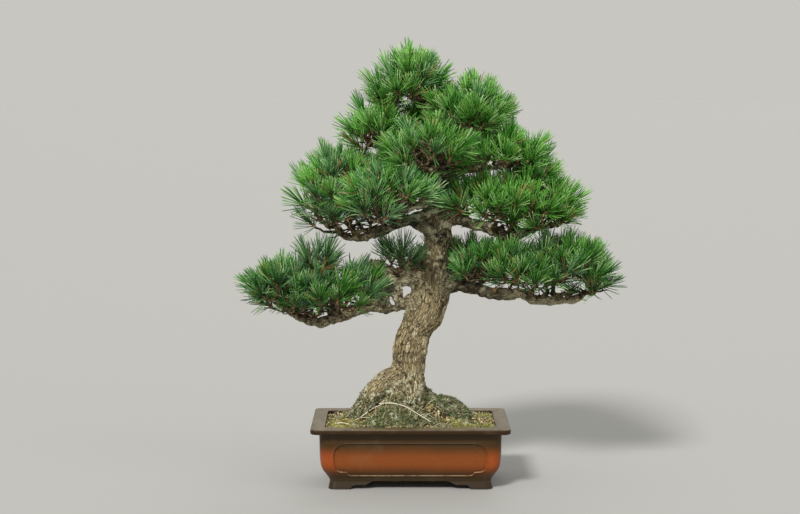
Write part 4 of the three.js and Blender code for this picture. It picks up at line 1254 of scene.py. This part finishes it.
def make_pot():
    rings, ledge, post = pot_rings()
    pot = new_piece("clay_pot", *stack(rings))
    set_numbers(pot.data, ledge=ledge, post=post)
    foot = FOOT_INSET + FOOT_THICKNESS
    hollow = [rounded_ring(RIM_LENGTH / 2 - foot, RIM_WIDTH / 2 - foot, 6, z) for z in (-1, FLOOR_UNDERSIDE)]
    cut_away(pot, "under_hollow", *stack(hollow))
    cut_away(pot, "long_arch", *block(arch_outline(LONG_ARCH), RIM_WIDTH, False))
    cut_away(pot, "short_arch", *block(arch_outline(SHORT_ARCH), RIM_LENGTH, True))
    turns = np.arange(32) * math.pi / 16
    for x in DRAINS:
        hole = [np.array(loop(turns, DRAIN_RADIUS, (x, 0, z))) for z in (4, 26)]
        cut_away(pot, "drain", *stack(hole))
    pot.data.set_sharp_from_angle(angle=math.radians(SHARP_FROM))
    return painted(pot, CLAY)


# ---- soil, moss and litter ----

SOIL_EDGE = 80
# The heaps of the soil: middle, how far it spreads along X and Y, height
HEAPS = [((-8, -2), (50, 42), 36), ((54, 2), (34, 28), 20), ((-58, -4), (26, 30), 12)]
# How far from the middle straws may lie along X and Y, and how many of them are tried
STRAW_REACH, STRAWS = (110, 65), 130


def soil_height(x, y):
    height = SOIL_EDGE + 1.2 * np.sin(x * 0.11 + 1) * np.cos(y * 0.14)
    for (px, py), (sx, sy), high in HEAPS:
        height = height + high * np.exp(-(((x - px) / sx) ** 2) - ((y - py) / sy) ** 2)
    return height


def lumps(x, y, *waves):
    """A smooth random height for each place: a sum of waves of that height and scale, from that layer."""
    return np.array([
        sum(high * noise.noise(Vector((a * scale, b * scale, layer))) for high, scale, layer in waves)
        for a, b in zip(x, y)
    ])


def rough_height(x, y):
    """The soil's height with its clods."""
    return soil_height(x, y) + lumps(x, y, (2.6, 0.07, 3), (1.5, 0.22, 7))


def make_ground():
    inset = RIM_SHELF + SOIL_GAP
    outer = rounded_ring(RIM_LENGTH / 2 - inset, RIM_WIDTH / 2 - inset, 8, 0)[::2]
    rings = [np.column_stack([outer[:, :2] * 0.97, np.full(len(outer), 60.0)])]
    for share in np.linspace(1, 0.02, 46):
        x, y = outer[:, 0] * share, outer[:, 1] * share
        rings.append(np.column_stack([x, y, rough_height(x, y)]))
    return painted(new_piece("soil_surface", *stack(rings)), GROUND)


# The moss cushions: middle, half size, thickness, seed, how dark
MOSSES = {
    "moss_mound_right": ((54, -2), (31, 26), 5, 5, 0.8),
    "moss_mound_front": ((-12, -45), (50, 19), 5, 15, 0.7),
    "moss_corner_left": ((-90, -44), (21, 18), 5, 25, 0.1),
    "moss_edge_right": ((80, -46), (28, 16), 5, 45, 0.35),
    "moss_back": ((4, 54), (24, 10), 4, 65, 0.5),
}


def make_cushion(name, middle, half, thick, seed, dark):
    """A moss cushion as a closed lumpy dome over the soil."""
    rings, sides, rows = [], 64, 18
    for row in range(rows + 1):
        climb = row / rows * math.pi / 2
        share = max(math.cos(climb), 0.03)
        angle = np.arange(sides) * 2 * math.pi / sides
        edge = 1 + 0.10 * np.sin(3 * angle + seed) + 0.06 * np.sin(7 * angle + seed * 2)
        x = middle[0] + half[0] * share * edge * np.cos(angle)
        y = middle[1] + half[1] * share * edge * np.sin(angle)
        lump = lumps(x, y, (1, 0.11, seed), (0.6, 0.3, seed))
        z = soil_height(x, y) + thick * math.sin(climb) * (1 + 0.8 * lump)
        if row == 0:
            z = soil_height(x, y) - 3
        rings.append(np.column_stack([x, y, z]))
    cushion = new_piece(f"{name}_cushion", *stack(rings))
    count = len(cushion.data.vertices)
    set_numbers(cushion.data, shade=[0.25] * count, dark=[dark] * count)
    return painted(cushion, MOSS)


def blade_model():
    """Four short moss blades in a tuft, one unit tall."""
    points, faces = [], []
    for n in range(4):
        a, start = n * 1.7, len(points)
        points += loop(TRIANGLE, 0.16, (0.16 * math.cos(a), 0.16 * math.sin(a), 0))
        points.append((0.55 * math.cos(a + 0.4), 0.55 * math.sin(a + 0.4), 0.75 + 0.25 * (n % 2)))
        faces += [(start + j, start + (j + 1) % 3, start + 3) for j in range(3)]
        faces.append((start + 2, start + 1, start))
    return hidden_model("moss_blades", points, faces)


def grain_model():
    """A chipped grain, about one unit across."""
    made = bmesh.new()
    bmesh.ops.create_icosphere(made, subdivisions=1, radius=0.5)
    for v in made.verts:
        v.co *= 0.75 + 0.5 * scatter(v.index + 3)
        v.co.z *= 0.75
    points = [tuple(v.co) for v in made.verts]
    faces = [[v.index for v in f.verts] for f in made.faces]
    made.free()
    return hidden_model("soil_grain", points, faces)


def cover_grower():
    """Scatters a small shape over a skin, standing on it, where the skin's own cover number allows."""
    g = Grower("ground_cover", Density=200000.0, Smallest=0.001, Largest=0.003, Tilt=0.6, Sink=0.0, Dark=0.5,
               Seed=1, Shape="", Material=None)
    seed = g.given("Seed")
    values = {"Mesh": g.given("Geometry"), "Density": g.given("Density") * g.number("cover"), "Seed": seed}
    spots = g.node("GeometryNodeDistributePointsOnFaces", {}, values, out=None)
    points, normal = Wire(g, spots.outputs["Points"]), Wire(g, spots.outputs["Normal"])
    lean = g.chance((-1.0, -1.0, -0.4), (1.0, 1.0, 1.0), seed + 1.0, "FLOAT_VECTOR")
    aim = g.vector("ADD", normal, g.vector("SCALE", lean, Scale=g.given("Tilt")))
    facing = g.spun(g.turned_to(aim), g.chance(0.0, 6.28, seed + 2.0))
    size = g.chance(g.given("Smallest"), g.given("Largest"), seed + 3.0)
    points = g.moved(points, g.vector("SCALE", normal, Scale=size * g.given("Sink")))
    shapes = g.repeated("Shape", points, facing, size)
    shapes = g.kept(shapes, "shade", g.chance(0.0, 1.0, seed + 4.0))
    g.finished(g.kept(shapes, "dark", g.given("Dark") + g.chance(-0.25, 0.25, seed + 5.0)))
    return g


def skin_copy(piece, name, cover):
    """A copy of a piece's skin with a cover number on each point, for a cover to be scattered over."""
    copy = copy_of(piece)
    copy.name = name
    set_numbers(copy.data, cover=cover)
    return copy


def small_gaps(points, number):
    """1 on most of a skin and 0 in the small dark gaps of its cover."""
    patch = [noise.noise(Vector(p) * 0.17 + Vector((0, 0, number))) for p in points.tolist()]
    return smooth_step(np.array(patch), -0.26, -0.08)


# Places that the longest straws pass through: x, y, z
LONG_STRAWS = [
    [(-42, -23, 109), (-34, -26, 110.5), (-21, -30, 110.5), (-7, -35, 107.2), (5, -43, 101.7),
     (17, -50, 95.5), (27, -60, 91)],
    [(-62, -12, 113.5), (-58.7, -15.5, 106.5), (-54.5, -29, 100.2)],
    [(-66.5, -35.5, 93.1), (-51.8, -26, 102.4), (-34.3, -23, 110.1)],
    [(-101, -50, 86.5), (-92, -50, 87.8), (-81, -52, 86)],
]


def make_straws():
    """Fallen needles and straws on the soil, the longest of them arched over the front of the heap."""
    tubes, shades = [], []
    for line in LONG_STRAWS:
        path = through([(*spot, 0.75) for spot in line], 6)
        path[:, 3] *= np.linspace(1, 0.6, len(path))
        tubes.append(tube(path, 6))
        shades += [0.95] * len(tubes[-1][0])
    for n in range(STRAWS):
        x, y = -106 + 212 * scatter(n * 3 + 1), -66 + 130 * scatter(n * 3 + 2)
        if scatter(n + 400) < 0.6:
            x, y = -90 + 150 * scatter(n * 7 + 4), -66 + 44 * scatter(n * 5 + 9)
        turn = 6.28 * scatter(n + 77)
        length = 9 + 22 * scatter(n + 31)
        t = np.linspace(-0.5, 0.5, 7)
        px = x + length * t * math.cos(turn) - 6 * (t * t) * math.sin(turn)
        py = y + length * t * math.sin(turn) + 6 * (t * t) * math.cos(turn)
        if np.abs(px).max() > STRAW_REACH[0] or np.abs(py).max() > STRAW_REACH[1]:
            continue
        pz = soil_height(px, py)
        rise = 2.5 + 3.0 * scatter(n + 8)
        pz = pz.max() * 0.5 + pz * 0.5 + rise * (1 - 2 * np.abs(t)) + 1.6
        tubes.append(tube(np.column_stack([px, py, pz, np.full(7, 0.3)]), 5))
        shades += [scatter(n + 3)] * len(tubes[-1][0])
    straws = new_piece("fallen_needles", *joined(tubes))
    set_numbers(straws.data, shade=shades)
    return painted(straws, STRAW)


# ---- everything together ----


def on_root(piece, slot, *nodes):
    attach(piece, "root")
    if nodes:
        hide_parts(*nodes)


def dress_ground(wood, wood_points):
    """Soil, its grains, and the moss on it and low on the bark."""
    ground = make_ground()
    on_root(ground, "soil", "soil")
    grower, blades, grain = cover_grower(), blade_model(), grain_model()

    def covered(piece, name, cover, slot="moss", shape=blades, material=MOSS, **inputs):
        skin = skin_copy(piece, name, cover)
        grower.grow(skin, name, Shape=shape, Material=material, **inputs)
        on_root(skin, slot)

    at = points_of(ground)
    patch = lumps(at[:, 0], at[:, 1], (1, 0.035, 1))
    top = np.where(at[:, 2] > 70, 1, 0) * small_gaps(at, 2)
    covered(ground, "soil_grains", top * smooth_step(patch, 0.35, -0.1), "soil", grain, GRAIN,
            Density=150000.0, Smallest=0.0014, Largest=0.0038, Tilt=1.0, Sink=0.12, Seed=3)
    covered(ground, "moss_carpet", top * smooth_step(patch, -0.25, 0.2),
            Density=420000.0, Smallest=0.0016, Largest=0.0034, Dark=0.4, Seed=8)
    for name, (middle, half, thick, seed, dark) in MOSSES.items():
        cushion = make_cushion(name, middle, half, thick, seed, dark)
        on_root(cushion, "moss", name)
        covered(cushion, f"{name}_blades", small_gaps(points_of(cushion), seed),
                Density=900000.0, Smallest=0.0016, Largest=0.0036, Dark=dark, Seed=seed)
    patch = np.array([noise.noise(Vector(p) * 0.08) > -0.05 for p in wood_points.tolist()])
    covered(wood, "bark_moss", smooth_step(wood_points[:, 2], 132, 100) * patch,
            Density=420000.0, Smallest=0.0014, Largest=0.003, Dark=0.75, Seed=21)


wood, wood_points = make_wood()
on_root(wood, "bark", "trunk_roots_and_branches")
for nodes, needles, shoots, twigs in make_foliage():
    on_root(needles, "needles", *nodes)
    on_root(shoots, "needles")
    on_root(twigs, "bark")
on_root(make_pot(), "clay", "pot")
dress_ground(wood, wood_points)
on_root(make_straws(), "needles")

screen = screen_finish()
for name in ("drain_screen_left", "drain_screen_right"):
    painted(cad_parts[name], screen)

# ---- floor and light ----


def make_stage():
    floor = bpy.data.meshes.new("floor")
    floor.from_pydata([(-40, -40, 0), (40, -40, 0), (40, 40, 0), (-40, 40, 0)], [], [(0, 1, 2, 3)])
    sheet = linked("floor", floor)
    f = Finish("pale_floor")
    floor.materials.append(f.set(base_color=(0.395, 0.4, 0.4, 1), roughness=0.9))
    world = bpy.data.worlds.new("soft_light")
    bpy.context.scene.world = world
    world.use_nodes = True
    sky = world.node_tree.nodes["Background"].inputs
    sky[0].default_value, sky[1].default_value = (0.93, 0.91, 0.85, 1), 0.62
    # Each light: its place, how wide it looks in degrees, its strength and its colour
    for name, spot, spread, strength, colour in (
        ("key", (-0.7, -1.7, 1.5), 12, 3.1, (1.0, 0.97, 0.9)),
        ("fill", (2.2, -1.6, 1.4), 40, 0.3, (1.0, 0.98, 0.94)),
        ("back", (0.4, 2.2, 1.9), 30, 0.5, (1.0, 0.99, 0.94)),
    ):
        lamp = bpy.data.lights.new(name, "SUN")
        lamp.angle, lamp.energy, lamp.color = math.radians(spread), strength, colour
        light = linked(name, lamp)
        light.location = spot
        light.rotation_euler = (-Vector(spot)).to_track_quat("-Z", "Y").to_euler()


make_stage()
bpy.context.scene.view_settings.view_transform = "Standard"
